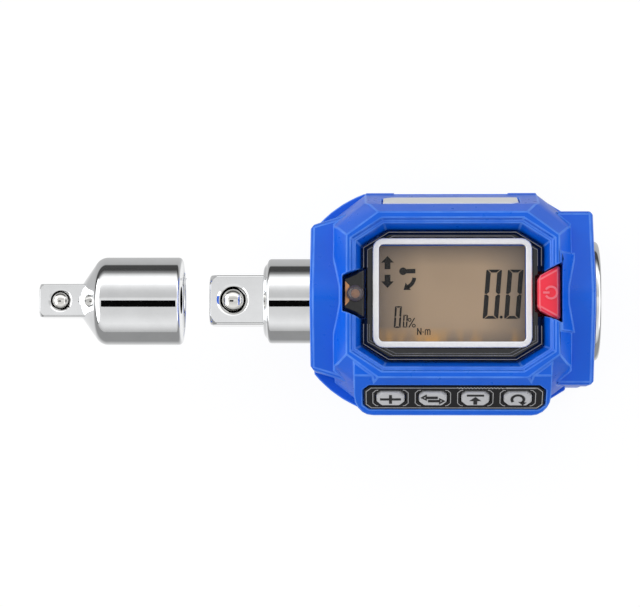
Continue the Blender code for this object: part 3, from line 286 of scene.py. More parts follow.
def crystal(name, colours):
    """The lit liquid crystal: tan, paler in the middle because painted shade darkens it towards its borders under
    the frame, amber where the lamps leak in below.
    """
    low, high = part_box("lcd_panel")
    paint = Paint(name, Roughness=0.28, Emission_Strength=0.36)
    height = paint.span(paint.axis("Y"), low[1] + 1.0 * MM, low[1] + 4.2 * MM, 1.0, 0.0)
    spots = paint.noise(230.0, 2.0, 0.5, paint.stretched(1.0, 0.35, 1.0))
    glow = height * paint.span(spots, 0.4, 0.62, 0.0, 0.7)
    clouds = paint.noise(70.0, 2.0)
    base = paint.mix(paint.span(clouds, 0.3, 0.7), shade(colours.crystal, 0.9),
                     shade(colours.crystal, 1.04))
    # painted shade: darker brown towards each border, where the frame shades the recessed crystal
    for axis, dim, clear in (("X", high[0], high[0] - 9 * MM), ("X", low[0], low[0] + 9 * MM),
                             ("Y", high[1], high[1] - 5 * MM), ("Y", low[1], low[1] + 4 * MM)):
        frame_shade = paint.span(paint.axis(axis), dim, clear, 0.75, 0.0)
        base = paint.mix(frame_shade, base, srgb(98, 90, 84))
    lit = paint.mix(glow, base, colours.glow)
    paint.feed(Base_Color=lit, Emission_Color=lit)
    return paint.material


def see_through(name, tint, clear):
    """Clear moulded plastic: see-through by a share, with a grazing gloss."""
    paint = Paint(name, Roughness=0.05)
    smears = paint.noise(90.0, 3.0)
    grazing = paint.node("ShaderNodeLayerWeight", None, {"Blend": 0.35}, "Fresnel")
    paint.feed(Base_Color=paint.mix(smears, tint, shade(tint, 0.96)),
               Roughness=paint.span(smears, 0.3, 0.7, 0.03, 0.09),
               Alpha=grazing * 0.5 + (1 - clear))
    return paint.material


def rubbery(name, colour):
    """Dull rubber with a bloom."""
    paint = Paint(name, Specular_IOR_Level=0.35)
    bloom = paint.noise(400.0, 4.0)
    paint.feed(Base_Color=paint.mix(bloom, colour, shade(colour, 1.8)),
               Roughness=paint.span(bloom, 0.3, 0.7, 0.7, 0.86),
               Normal=paint.bump(paint.noise(3000.0, 2.0), 0.2, 0.00003))
    return paint.material


def two_tone(name, scale, first, second, detail=2.0, lit=False, **constants):
    """A finish that drifts between two colours, and glows with them where it is lit."""
    paint = Paint(name, **constants)
    tone = paint.mix(paint.noise(scale, detail), first, second)
    paint.feed(Base_Color=tone)
    if lit:
        paint.feed(Emission_Color=tone)
    return paint.material


def pick_only(obj):
    """Make one object the only selected and active one."""
    bpy.ops.object.select_all(action="DESELECT")
    obj.select_set(True)
    bpy.context.view_layer.objects.active = obj


def settle(obj, material, body, slot, *nodes):
    """Give a finished piece its place in its mesh, its finish, its body and what it stands for."""
    pick_only(obj)
    into_mesh()
    obj.data.materials.clear()
    obj.data.materials.append(material)
    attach(obj, body)
    if nodes:
        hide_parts(*nodes)
    return obj


def modify(obj, kind, **options):
    """Add a modifier, set it and apply it."""
    pick_only(obj)
    step = obj.modifiers.new(kind.lower(), kind)
    for option, value in options.items():
        setattr(step, option, value)
    bpy.ops.object.modifier_apply(modifier=step.name)
    return obj


def carve(obj, tool, operation="DIFFERENCE"):
    """Cut or join with another object, which is then removed."""
    modify(obj, "BOOLEAN", operation=operation, object=tool, solver="EXACT")
    bpy.data.objects.remove(tool)
    return obj


def soften(obj, width, segments=2):
    """Round a solid's edges, mark the rounded strips, and shade it smooth between its sharp edges."""
    sharp = math.radians(30)
    obj.data.materials.clear()
    obj.data.materials.append(None)
    obj.data.materials.append(None)
    modify(obj, "BEVEL", width=width, segments=segments, limit_method="ANGLE", material=1,
           angle_limit=sharp, use_clamp_overlap=False, miter_outer="MITER_SHARP")
    marks = [float(face.material_index) for face in obj.data.polygons]
    obj.data.attributes.new("edge", "FLOAT", "FACE").data.foreach_set("value", marks)
    obj.data.polygons.foreach_set("material_index", [0] * len(marks))
    bpy.ops.object.shade_smooth_by_angle(angle=sharp)
    return modify(obj, "WEIGHTED_NORMAL", keep_sharp=True, weight=80)


def smooth_turned(obj):
    """Shade a turned piece smooth, with its long faces and flats kept true."""
    pick_only(obj)
    bpy.ops.object.shade_smooth_by_angle(angle=math.radians(25))
    return modify(obj, "WEIGHTED_NORMAL", keep_sharp=True, weight=95)


def copy_of(node, flat=1.0, merge=0.02 * MM):
    """A copy of a node's mesh, merged, without slivers and with its flat faces whole again."""
    obj = add_object("look_" + node, NODES[node].data.copy())
    pick_only(obj)
    bpy.ops.object.mode_set(mode="EDIT")
    bpy.ops.mesh.select_all(action="SELECT")
    bpy.ops.mesh.remove_doubles(threshold=merge)
    bpy.ops.mesh.dissolve_degenerate(threshold=merge)
    bpy.ops.mesh.dissolve_limited(angle_limit=math.radians(flat))
    bpy.ops.object.mode_set(mode="OBJECT")
    return obj


def dress(node, material, body, slot, edge, segments=2, flat=1.0, merge=0.02 * MM):
    """Stand a softened copy in for a node whose form is right."""
    return settle(soften(copy_of(node, flat, merge), edge, segments), material, body, slot, node)


def finish_node(node, material):
    """Give a carried-over node its finish."""
    mesh = NODES[node].data
    mesh.materials.clear()
    mesh.materials.append(material)


def primitive(add, **options):
    """Add a mesh primitive as the only selected object."""
    bpy.ops.object.select_all(action="DESELECT")
    add(**options)
    return bpy.context.object


def add_object(name, data):
    """Add an object that holds the data."""
    obj = bpy.data.objects.new(name, data)
    bpy.context.scene.collection.objects.link(obj)
    return obj


def into_mesh():
    """Apply the selected objects' places, turns and scales to their meshes."""
    bpy.ops.object.transform_apply(location=True, rotation=True, scale=True)


def add_box(low, high):
    """A cube primitive stretched between two corners."""
    low, high = Vector(low), Vector(high)
    box = primitive(bpy.ops.mesh.primitive_cube_add, size=1.0, location=(low + high) / 2)
    box.scale = high - low
    into_mesh()
    return box


def select_faces(obj, wanted):
    """Select the faces for which wanted(face) holds, and leave edit mode open."""
    pick_only(obj)
    bpy.ops.object.mode_set(mode="EDIT")
    bpy.ops.mesh.select_mode(type="FACE")
    bpy.ops.mesh.select_all(action="DESELECT")
    bpy.ops.object.mode_set(mode="OBJECT")
    for face in obj.data.polygons:
        face.select = wanted(face)
    bpy.ops.object.mode_set(mode="EDIT")


def turned(name, stations, sides, centre=(0, 0), upright=False):
    """Turn a solid: a cylinder whose end face is drawn out and resized through (place, radius)."""
    (start, radius), (second, _) = stations[:2]
    middle = (start + second) / 2
    where = (*centre, middle) if upright else (middle, *centre)
    turn = (0, 0, 0) if upright else (0, math.pi / 2, 0)
    obj = primitive(bpy.ops.mesh.primitive_cylinder_add, vertices=sides, radius=radius,
                    depth=second - start, location=where, rotation=turn)
    into_mesh()
    obj.name = name
    way = 2 if upright else 0
    select_faces(obj, lambda face: face.normal[way] > 0.9)
    at, now = second, radius
    for number, (place, wide) in enumerate(stations[1:]):
        if number:
            step = (0, 0, place - at) if upright else (place - at, 0, 0)
            bpy.ops.mesh.extrude_region_move(TRANSFORM_OT_translate={"value": step})
        if wide != now:
            pivot = (*centre, place) if upright else (place, *centre)
            bpy.ops.transform.resize(value=(wide / now,) * 3, center_override=pivot)
        at, now = place, wide
    bpy.ops.object.mode_set(mode="OBJECT")
    return obj


def rim(face, radius, round_off, steps=5):
    """Stations that roll a cylinder's edge over to its end face, towards +X."""
    return [(face - round_off * (1 - math.sin(t)), radius - round_off * (1 - math.cos(t)))
            for t in (math.pi / 2 * i / steps for i in range(steps + 1))]


def add_square(body, tip, inner, half, corner):
    """Join a drive square with rounded long edges to a turned body, its tip cut by a turned form."""
    bar = add_box((tip, -half, AXIS_Z - half), (inner, half, AXIS_Z + half))
    modify(bar, "BEVEL", width=corner, segments=5, limit_method="ANGLE", angle_limit=math.radians(60))
    profile = ((0, 1.1), (0.06, 1.2), (0.16, 1.3), (0.34, 1.4), (0.5, 1.44), (3, 1.44))
    tip_cut = turned("tip_cut", [(tip + half * x, half * r) for x, r in profile], 96, (0, AXIS_Z))
    carve(body, carve(bar, tip_cut, "INTERSECT"), "UNION")


def drill(x, top, radius, depth, mouth):
    """The staked hole of a detent ball: a dished ring, then a plain bore."""
    dish = (mouth - radius) * 0.6
    stations = [(top - depth, radius), (top - dish, radius), (top, mouth),
                (top + 1.2 * MM, mouth + 3.0 * MM)]
    return turned("drill", stations, 64, (x, 0), upright=True)


def socket_cut(face, depth):
    """The square socket with its countersunk mouth."""
    half = SOCKET_HALF
    hole = add_box((face - depth, -half, AXIS_Z - half), (face + 2 * MM, half, AXIS_Z + half))
    mouth = turned("mouth", [(face - 1.0 * MM, half * 1.12), (face + 0.8 * MM, half * 1.5)], 64,
                   (0, AXIS_Z))
    return carve(hole, mouth, "UNION")


def bright_ball(node, finish):
    """A polished ball, turned in place of a faceted one."""
    x, y, z = middle_of(node)
    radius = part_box(node)[1][2] - z
    angles = [math.radians(-87 + 6 * i) for i in range(30)]
    stations = [(z + radius * math.sin(t), radius * math.cos(t)) for t in angles]
    ball = turned("look_" + node, stations, 64, (x, y), upright=True)
    bpy.ops.object.shade_smooth()
    settle(ball, chromed(finish, (0.8, 0.79, 0.76), 0.06), node, "bright_ball", node)


def flat_figure(loops, thick, placing):
    """A thin raised figure: loops of points in millimetres, filled, thickened and placed."""
    curve = bpy.data.curves.new("figure", "CURVE")
    curve.dimensions = "2D"
    curve.fill_mode = "BOTH"
    curve.extrude = thick / MM / 2
    for loop in loops:
        spline = curve.splines.new("POLY")
        spline.points.add(len(loop) - 1)
        for point, (x, y) in zip(spline.points, loop):
            point.co = (x, y, 0, 1)
        spline.use_cyclic_u = True
    obj = add_object("figure", curve)
    pick_only(obj)
    bpy.ops.object.convert(target="MESH")
    obj.scale = (MM, MM, MM)
    obj.location = (0, 0, thick / 2)
    into_mesh()
    obj.data.transform(placing)
    return obj


def stroke(path, width):
    """The outline of a line of even width along an open path."""
    left, right = [], []
    for i, (x, y) in enumerate(path):
        before = path[max(i - 1, 0)]
        after = path[min(i + 1, len(path) - 1)]
        dx, dy = after[0] - before[0], after[1] - before[1]
        size = math.hypot(dx, dy)
        left.append((x - dy / size * width / 2, y + dx / size * width / 2))
        right.append((x + dy / size * width / 2, y - dx / size * width / 2))
    return left + right[::-1]


def bow(centre, radius, start, end, steps):
    """Points along an arc between two angles in degrees."""
    angles = [math.radians(start + (end - start) * i / steps) for i in range(steps + 1)]
    return [(centre[0] + radius * math.cos(t), centre[1] + radius * math.sin(t)) for t in angles]


def grown(loop, share):
    """A loop of points, larger by a share."""
    return [(x * share, y * share) for x, y in loop]


def cut_corners(x, y, cut):
    """A rectangle with cut corners, from its half sizes in millimetres."""
    return [(x, cut - y), (x, y - cut), (x - cut, y), (cut - x, y),
            (-x, y - cut), (-x, cut - y), (cut - x, -y), (x - cut, -y)]


def joined(made, name):
    """Join objects into one."""
    bpy.ops.object.select_all(action="DESELECT")
    for piece in made:
        piece.select_set(True)
    bpy.context.view_layer.objects.active = made[0]
    if len(made) > 1:
        bpy.ops.object.join()
    piece = bpy.context.view_layer.objects.active
    piece.name = name
    return piece


class ADAPTER_OT_stage(bpy.types.Operator):
    """Add the floor, the lights and the camera"""

    bl_idname = "adapter.stage"
    bl_label = "Stage"

    # where the camera looks from, and at what
    view = Vector((0.033, -0.061, 0.998)).normalized()
    target = Vector((-25.35 * MM, -0.43 * MM, AXIS_Z))
    # brightness of the tent by angle from straight above, positive to the far side
    tent_peak = 1.6
    bands = ((-100, 0.4), (-91, 0.52), (-84, 0.66), (-73, 0.86), (-64, 0.96), (-53, 0.9), (-37, 0.78),
             (-20, 0.74), (-4, 0.9), (3, 0.9), (8, 0.64), (18, 0.66), (26, 0.74), (33, 0.9), (39, 1.1),
             (47, 1.6), (63, 1.3), (70, 0.85), (77, 0.3), (86, 0.05))
    # what the chrome sees of the floor, by millimetres from the axis, positive to the far side
    floor_greys = ((-34, 0.3), (-8, 0.9), (8, 0.9), (15, 0.55), (80, 0.45), (105, 0.03))

    def execute(self, context):
        stage = settings()[2]
        self.floor()
        self.lights(stage)
        self.camera(context, stage)
        return {"FINISHED"}

    def floor(self):
        """A white floor that keeps the shadow, clear from below; the chrome sees it grey, paler near by."""
        floor = primitive(bpy.ops.mesh.primitive_plane_add, size=6.0, location=(0, 0, -0.2 * MM))
        floor.name = "floor"
        paint = Paint("white_floor", Roughness=0.6)
        seen = paint.node("ShaderNodeLightPath", out="Is Camera Ray")
        mirrored = paint.node("ShaderNodeLightPath", out="Is Glossy Ray")
        clouds = paint.noise(6.0, 2.0)
        paint.feed(Base_Color=paint.mix(clouds, (0.9, 0.9, 0.9), (0.92, 0.92, 0.92)))
        near, far = self.floor_greys[0][0], self.floor_greys[-1][0]
        stops = [((reach - near) / (far - near), (level,) * 3) for reach, level in self.floor_greys]
        grey = paint.node("ShaderNodeValToRGB", {"stops": stops},
                          {"Fac": paint.span(paint.axis("Y"), near * MM, far * MM)}, "Color")
        white = paint.node("ShaderNodeEmission", {}, {"Color": paint.mix(seen, grey, (1, 1, 1)),
                                                      "Strength": 1.04})
        share = (seen * 0.88).math("MAXIMUM", mirrored * 0.95)
        blend = paint.node("ShaderNodeMixShader", {},
                           {0: share, 1: Wire(paint, paint.shader.outputs[0]), 2: white})
        below = paint.node("ShaderNodeNewGeometry", out="Backfacing")
        clear = paint.node("ShaderNodeBsdfTransparent")
        one_way = paint.node("ShaderNodeMixShader", {}, {0: below, 1: blend, 2: clear})
        out = paint.tree.nodes["Material Output"]
        paint.tree.links.new(one_way.socket, out.inputs["Surface"])
        floor.data.materials.append(paint.material)

    def lights(self, stage):
        """Softboxes light the adapter; a tent of grey bands and black cards are what its chrome sees."""
        self.room(stage.room_light)
        self.softbox("far_softbox", self.place(36, 0.62), (1.5, 0.52), stage.key_power)
        self.softbox("near_softbox", self.place(-54, 0.62), (1.5, 0.8), stage.key_power * 0.6)
        for side, heading, share in (("left", 90, 1.5), ("right", -90, 0.8)):
            self.softbox(side + "_softbox", self.place(66, 0.65, heading), (1.1, 0.4),
                         stage.key_power * share, mirrored=True)
        self.tent()
        self.card("overhead_card", self.place(-9.5, 0.44), (0.3, 0.13), -150 * MM)
        self.card("end_card", self.place(87, 0.55, 90), (0.9, 0.05), 0)

    def room(self, strength):
        """A white room, which the camera sees at full white."""
        world = bpy.context.scene.world or bpy.data.worlds.new("studio")
        bpy.context.scene.world = world
        world.use_nodes = True
        nodes, links = world.node_tree.nodes, world.node_tree.links
        dim, full = nodes["Background"], nodes.new("ShaderNodeBackground")
        blend, path = nodes.new("ShaderNodeMixShader"), nodes.new("ShaderNodeLightPath")
        for back, level in ((dim, strength), (full, 1.0)):
            back.inputs["Color"].default_value = (1.0, 1.0, 1.0, 1.0)
            back.inputs["Strength"].default_value = level
        links.new(path.outputs["Is Camera Ray"], blend.inputs[0])
        links.new(dim.outputs[0], blend.inputs[1])
        links.new(full.outputs[0], blend.inputs[2])
        links.new(blend.outputs[0], nodes["World Output"].inputs["Surface"])

    def softbox(self, name, place, size, power, mirrored=False):
        """A large soft lamp, which no surface mirrors unless it is told to."""
        data = bpy.data.lights.new(name, "AREA")
        data.shape = "RECTANGLE"
        data.size, data.size_y = size
        data.energy = power
        lamp = add_object(name, data)
        lamp.matrix_world = place
        lamp.visible_glossy = mirrored

    def only_mirrored(self, obj, name, material):
        """Keep a stage piece out of everything but reflections."""
        obj.name = name
        obj.data.materials.append(material)
        obj.visible_camera = obj.visible_diffuse = obj.visible_transmission = obj.visible_shadow = False

    def tent(self):
        """A tunnel round the spindle's axis, lit in soft bands from the near floor to the far floor."""
        tent = primitive(bpy.ops.mesh.primitive_cylinder_add, vertices=96, radius=0.6, depth=2.4,
                         end_fill_type="NOTHING", location=(0, 0, AXIS_Z))
        tent.data.transform(Matrix.Rotation(math.pi / 2, 4, "Y"))
        paint = Paint("tent_bands", Roughness=1.0, Emission_Strength=self.tent_peak)
        angle = paint.axis("Y").math("ARCTAN2", paint.axis("Z"))
        first, last = math.radians(self.bands[0][0]), math.radians(self.bands[-1][0])
        stops = [((math.radians(turn) - first) / (last - first), (level / self.tent_peak,) * 3)
                 for turn, level in self.bands]
        light = paint.node("ShaderNodeValToRGB", {"stops": stops}, {"Fac": paint.span(angle, first, last)},
                           "Color")
        paint.feed(Base_Color=paint.mix(paint.noise(4.0), (0.01, 0.01, 0.01), (0.02, 0.02, 0.02)),
                   Emission_Color=light)
        self.only_mirrored(tent, "tent", paint.material)

    def card(self, name, place, size, shift):
        """A black card, moved along the spindle by a shift."""
        card = primitive(bpy.ops.mesh.primitive_plane_add, size=1.0)
        card.data.transform(Matrix.Diagonal((size[0], size[1], 1, 1)))
        card.matrix_world = Matrix.Translation((shift, 0, 0)) @ place
        black = two_tone(name, 5.0, (0.002, 0.002, 0.002), (0.004, 0.004, 0.004), 3.0,
                         Roughness=1.0, Specular_IOR_Level=0.0)
        self.only_mirrored(card, name, black)

    def place(self, angle, distance, heading=0):
        """Facing the adapter, tipped from straight above to the far side, or round towards the reducer."""
        tip, turn = math.radians(angle), math.radians(heading)
        away = Vector((-math.sin(turn) * math.sin(tip), math.cos(turn) * math.sin(tip), math.cos(tip)))
        spot = Vector((0, 0, AXIS_Z)) + away * distance
        return Matrix.Translation(spot) @ away.to_track_quat("Z", "Y").to_matrix().to_4x4()

    def camera(self, context, stage):
        """The photograph's camera: nearly straight above, a little towards the keypad's side."""
        back = self.view
        right = (Vector((1, 0, 0)) - back * back.x).normalized()
        up = back.cross(right)
        data = bpy.data.cameras.new("camera")
        data.lens = stage.lens
        data.clip_start = 0.01
        camera = add_object("camera", data)
        turn = Matrix((right, up, back)).transposed().to_4x4()
        camera.matrix_world = Matrix.Translation(self.target + back * stage.camera_height) @ turn
        context.scene.camera = camera
        context.scene.view_settings.view_transform = "Standard"


class ADAPTER_OT_housing(bpy.types.Operator):
    """Model the shells, the bare nameplate, the battery cover and the screws"""

    bl_idname = "adapter.housing"
    bl_label = "Housing"

    def execute(self, context):
        colours, sizes, _ = settings()
        # the pale blue edge colour is a painted highlight on the shells' rounded edges, partly edge wear
        blue = moulded("blue_moulding", colours.housing, edge=srgb(96, 154, 250))
        for shell in ("front_shell", "rear_shell"):
            dress(shell, blue, "adapter", "blue_plastic", sizes.housing_edge, segments=3, flat=3.0,
                  merge=0.1 * MM)
        dress("battery_cover", blue, "battery_cover", "blue_plastic", sizes.fine_edge)
        plate = brushed("bare_nameplate", srgb(250, 251, 252), 0.42, metal=0.7)
        dress("nameplate", plate, "adapter", "satin_nameplate", sizes.fine_edge)
        steel = brushed("zinc_steel", srgb(178, 178, 180), 0.3, (20.0, 20.0, 1.0))
        for number in range(1, 5):
            self.screw(f"case_screw_{number}", steel, "adapter", 1.5 * MM)
        self.screw("battery_cover_screw", steel, "battery_cover", 1.3 * MM)
        return {"FINISHED"}

    def screw(self, node, steel, body, arm):
        """A copy of the screw with a cross recess in its head, which faces down."""
        x, y, _ = middle_of(node)
        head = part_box(node)[0][2]
        below, bottom = head - 0.2 * MM, head + 0.7 * MM
        screw = soften(copy_of(node), 0.05 * MM, segments=1)
        for wide, deep in ((arm, 0.22 * MM), (0.22 * MM, arm)):
            carve(screw, add_box((x - wide, y - deep, below), (x + wide, y + deep, bottom)))
        settle(screw, steel, body, "spring_steel", node)


class ADAPTER_OT_display(bpy.types.Operator):
    """Model the bezel, frame, lens and liquid crystal with its figures"""

    bl_idname = "adapter.display"
    bl_label = "Display"

    def execute(self, context):
        colours, sizes, _ = settings()
        black = glossy("piano_black", srgb(14, 14, 16), 0.1)
        dress("display_bezel", black, "adapter", "gloss_black_plastic", 0.16 * MM)
        self.bezel_highlight_lines()
        silver = brushed("bright_frame", srgb(250, 250, 250), 0.38, (12.0, 12.0, 1.0), 0.55)
        dress("display_frame", silver, "adapter", "silver_frame", 0.25 * MM, segments=3)
        finish_node("display_lens", see_through("clear_lens", (0.22, 0.22, 0.21), 1.0))
        finish_node("lcd_panel", crystal("lit_crystal", colours))
        finish_node("light_guide", moulded("milky_guide", srgb(228, 226, 214), 0.3, 0.02))
        self.figures(context, colours, sizes)
        return {"FINISHED"}

    def bezel_highlight_lines(self):
        """Fine grey lines round the bezel, painted highlights for the light on its steps, open at the signal lamp
        and the power button.
        """
        low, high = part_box("display_bezel")
        half_x, half_y = ((high[i] - low[i]) / 2 / MM for i in (0, 1))
        placing = Matrix.Translation((0, 0, high[2] - 0.03 * MM))
        made = []
        for inset, width in ((0.22, 0.16), (0.95, 0.12), (1.35, 0.08)):
            x, y = half_x - inset, half_y - inset
            corner_x, corner_y = x - 4.7 - 0.092 * inset, y - 3.0 + 0.41 * inset
            for way in (-1, 1):
                path = [(-x, way * 5.3), (-x, way * corner_y), (-corner_x, way * y),
                        (corner_x, way * y), (x, way * corner_y), (x, way * 5.6)]
                if inset < 1.2 or way < 0:
                    made.append(flat_figure([stroke(path, width)], 0.07 * MM, placing))
        # the grey of these lines is painted highlight along the bezel's steps
        grey = two_tone("bezel_painted_highlight", 420.0, srgb(92, 92, 96), srgb(150, 150, 154), 3.0, Roughness=0.3)
        settle(joined(made, "bezel_highlight_lines"), grey, "adapter", "gloss_black_plastic")

    def figures(self, context, colours, sizes):
        """All the dark figures of the display, joined into one thin piece."""
        self.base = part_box("lcd_panel")[1][2]
        self.thick = sizes.figure_height
        self.made = []
        self.big_figures()
        self.arrows()
        self.small_figures()
        self.unit_sign()
        ink = two_tone("segment_ink", 500.0, colours.segment, shade(colours.segment, 1.25), Roughness=0.5)
        settle(joined(self.made, "display_figures"), ink, "adapter", "liquid_crystal")

    def polygon(self, *loops):
        """A dark figure on the crystal, through points in millimetres."""
        placing = Matrix.Translation((0, 0, self.base + 0.01 * MM))
        self.made.append(flat_figure(loops, self.thick, placing))

    def figure_zero(self, x, y, width, height, bar, side, slant, gap):
        """A seven-segment zero, its middle bar unlit, with its lower left corner at x and y."""
        def lean(points):
            return [(x + px + slant * py / height, y + py) for px, py in points]
        mid, cut = height / 2, gap
        upright = ((0, cut), (0, mid - cut), (side * 0.5, mid - cut * 0.2), (side, mid - cut - side * 0.35),
                   (side, bar + cut), (side * 0.25, cut * 0.2))
        for mirror in (False, True):
            for raised in (False, True):
                points = [(width - px if mirror else px, height - py if raised else py)
                          for px, py in upright]
                self.polygon(lean(points))
        ends = side * 0.85
        low = ((ends * 0.45, 0), (width - ends * 0.45, 0), (width - ends - bar * 0.5, bar),
               (ends + bar * 0.5, bar))
        self.polygon(lean(low))
        self.polygon(lean([(px, height - py) for px, py in low]))

    def big_figures(self):
        """The reading: two slanted zeros with a point between them."""
        for left in (5.75, 9.8):
            self.figure_zero(left, -4.1, width=2.95, height=9.3, bar=0.55, side=0.86, slant=0.75,
                             gap=0.12)
        self.polygon(bow((9.25, -3.78), 0.3, 0, 330, 11))

    def arrows(self):
        """Two fat arrows, and the sign of a wrench with its turning arrow."""
        for tip, way in ((7.79, -1), (1.74, 1)):
            shape = ((0, 0), (1.2, 1.25), (0.55, 1.25), (0.55, 2.5), (-0.55, 2.5), (-0.55, 1.25),
                     (-1.2, 1.25))
            self.polygon([(-12.17 + x, tip + way * y) for x, y in shape])
        self.polygon(bow((-9.24, 4.9), 0.72, 35, 325, 16) + [(-6.9, 4.5), (-6.9, 5.35)])
        swing = bow((-9.2, 3.85), 2.1, -5, -68, 8)
        self.polygon(stroke(swing, 0.72))
        self.polygon([(-9.15, 1.35), (-8.75, 2.75), (-7.75, 1.35)])

    def small_figures(self):
        """The share of the target: a small zero, a smaller one and a percent sign."""
        self.figure_zero(-11.0, -5.82, width=1.3, height=4.1, bar=0.28, side=0.36, slant=0.25, gap=0.08)
        self.figure_zero(-9.3, -5.75, width=0.85, height=2.4, bar=0.2, side=0.26, slant=0.14, gap=0.06)
        self.polygon(stroke([(-8.15, -5.75), (-7.05, -3.95)], 0.2))
        for middle in ((-8.0, -4.3), (-7.2, -5.4)):
            self.polygon(bow(middle, 0.36, 0, 345, 15), bow(middle, 0.19, 0, 345, 15))

    def unit_sign(self):
        """The unit of torque, a generic sign."""
        for line in (((-6.5, -7.15), (-6.5, -5.85)), ((-6.5, -5.9), (-5.85, -7.1)),
                     ((-5.85, -7.15), (-5.85, -5.85))):
            self.polygon(stroke(line, 0.2))
        self.polygon(bow((-5.45, -6.6), 0.12, 0, 315, 7))
        for x in (-5.05, -4.6, -4.15):
            self.polygon(stroke([(x, -7.15), (x, -6.35)], 0.18))
        for x in (-4.83, -4.38):
            self.polygon(stroke(bow((x, -6.35), 0.22, 0, 180, 8), 0.18))


class ADAPTER_OT_controls(bpy.types.Operator):
    """Model the power button, the signal lamp and the keypad with its keys"""

    bl_idname = "adapter.controls"
    bl_label = "Controls"

    def execute(self, context):
        colours, sizes, _ = settings()
        self.power_button(colours, sizes)
        self.signal_lamp(sizes)
        self.keypad(colours, sizes)
        return {"FINISHED"}

    def power_button(self, colours, sizes):
        """The red button with a raised power sign, a broken ring and a bar."""
        # the pale pink edge colour is a painted highlight on the button's rounded edges, partly edge wear
        red = moulded("red_moulding", colours.button, 0.32, 0.05, srgb(255, 150, 160))
        button = soften(copy_of("power_button"), sizes.fine_edge * 2)
        centre = (18.25 * MM, middle_of("power_button")[1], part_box("power_button")[1][2] - 0.02 * MM)
        placing = Matrix.Translation(centre) @ Matrix.Rotation(math.pi / 2, 4, "Z")
        settle(button, red, "power_button", "red_plastic", "power_button")
        sign = joined([flat_figure([stroke(bow((0, 0), 1.1, 120, 420, 20), 0.4)], 0.2 * MM, placing),
                       flat_figure([stroke([(0, 0.3), (0, 1.5)], 0.4)], 0.2 * MM, placing)], "power_sign")
        # the sign is a paler red than the button: painted highlight for the light on its raised edges
        pale = moulded("red_sign_painted_highlight", srgb(250, 120, 134), 0.3, 0.02)
        settle(soften(sign, 0.05 * MM), pale, "power_button", "red_plastic")

    def signal_lamp(self, sizes):
        """A clear dome over an amber chip, in its black holder."""
        black = glossy("holder_black", srgb(13, 13, 15), 0.14)
        dress("lamp_holder", black, "adapter", "gloss_black_plastic", sizes.fine_edge * 1.5)
        low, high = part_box("signal_lamp")
        middle = middle_of("signal_lamp")[:2]
        radius = (high[0] - low[0]) / 2
        brim = high[2] - 1.2 * MM
        dome = [(brim + 1.15 * MM * math.sin(t), radius * max(math.cos(t), 0.02))
                for t in (math.pi / 2 * i / 8 for i in range(9))]
        stations = [(low[2], radius - 0.3 * MM), (brim, radius - 0.3 * MM), *dome]
        lamp = turned("lamp_dome", stations, 48, middle, upright=True)
        bpy.ops.object.shade_smooth_by_angle(angle=math.radians(40))
        settle(lamp, see_through("clear_dome", (0.13, 0.11, 0.12), 0.35), "adapter", "clear_plastic",
               "signal_lamp")
        chip = turned("lamp_chip", [(brim - 1.6 * MM, 0.8 * MM), (brim - 0.5 * MM, 0.8 * MM),
                                    (brim - 0.2 * MM, 0.45 * MM)], 24, middle, upright=True)
        amber = two_tone("amber_chip", 900.0, srgb(226, 140, 66), srgb(255, 190, 120), lit=True,
                         Roughness=0.3, Emission_Strength=0.25)
        settle(chip, amber, "adapter", "clear_plastic")
        self.lamp_leak(middle[1] / MM)

    def lamp_leak(self, y):
        """Warm light that the lamp throws on the outer slope of its holder."""
        low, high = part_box("lamp_holder")
        left = low[0] / MM + 0.25
        slope = [(left, y - 2.3), (left + 0.75, y - 1.5), (left + 0.75, y + 1.5), (left, y + 2.3)]
        leak = flat_figure([slope], 0.05 * MM, Matrix.Translation((0, 0, high[2] - 0.02 * MM)))
        leak.name = "lamp_leak"
        brown = Paint("amber_leak", Roughness=0.25, Emission_Strength=0.12)
        cloud = brown.span(brown.noise(420.0, 2.0), 0.35, 0.65)
        tone = brown.mix(cloud, srgb(104, 70, 50), srgb(226, 160, 104))
        brown.feed(Base_Color=tone, Emission_Color=tone)
        settle(leak, brown.material, "adapter", "clear_plastic")

    def keypad(self, colours, sizes):
        """The plate with its printed lines, and four keys with their signs."""
        press = Vector(next(j["axis"] for j in frame["joints"] if j["name"] == "key_plus_press"))
        out = -press.normalized()
        up = out.cross(Vector((1, 0, 0)))
        middle = Vector(middle_of("keypad_overlay")) + out * 0.5 * MM
        self.facet = Matrix((Vector((1, 0, 0)), up, out)).transposed().to_4x4()
        self.facet.translation = middle
        pad = moulded("keypad_charcoal", colours.keypad, 0.34, 0.05)
        dress("keypad_overlay", pad, "adapter", "dark_keypad", sizes.fine_edge)
        silver = two_tone("printed_silver", 2500.0, srgb(168, 168, 170), srgb(206, 206, 208),
                          Roughness=0.35, Metallic=0.3)
        signs = {"key_plus": self.plus_sign, "key_mode": self.swap_sign, "key_peak": self.peak_sign,
                 "key_unit": self.cycle_sign}
        offsets = {node: middle_of(node)[0] - middle.x for node in signs}
        self.borders(silver, sizes, offsets)
        ink = two_tone("sign_ink", 1200.0, srgb(16, 16, 18), srgb(24, 24, 27), Roughness=0.42)
        grey = moulded("key_grey", colours.key, 0.36, 0.04)
        for node, sign in signs.items():
            dress(node, grey, node, "grey_key", sizes.fine_edge * 2)
            place = self.facet @ Matrix.Translation((offsets[node], 0, 0.39 * MM))
            marks = joined([flat_figure(loops, sizes.print_height, place) for loops in sign()],
                           node + "_sign")
            settle(marks, ink, node, "dark_keypad")

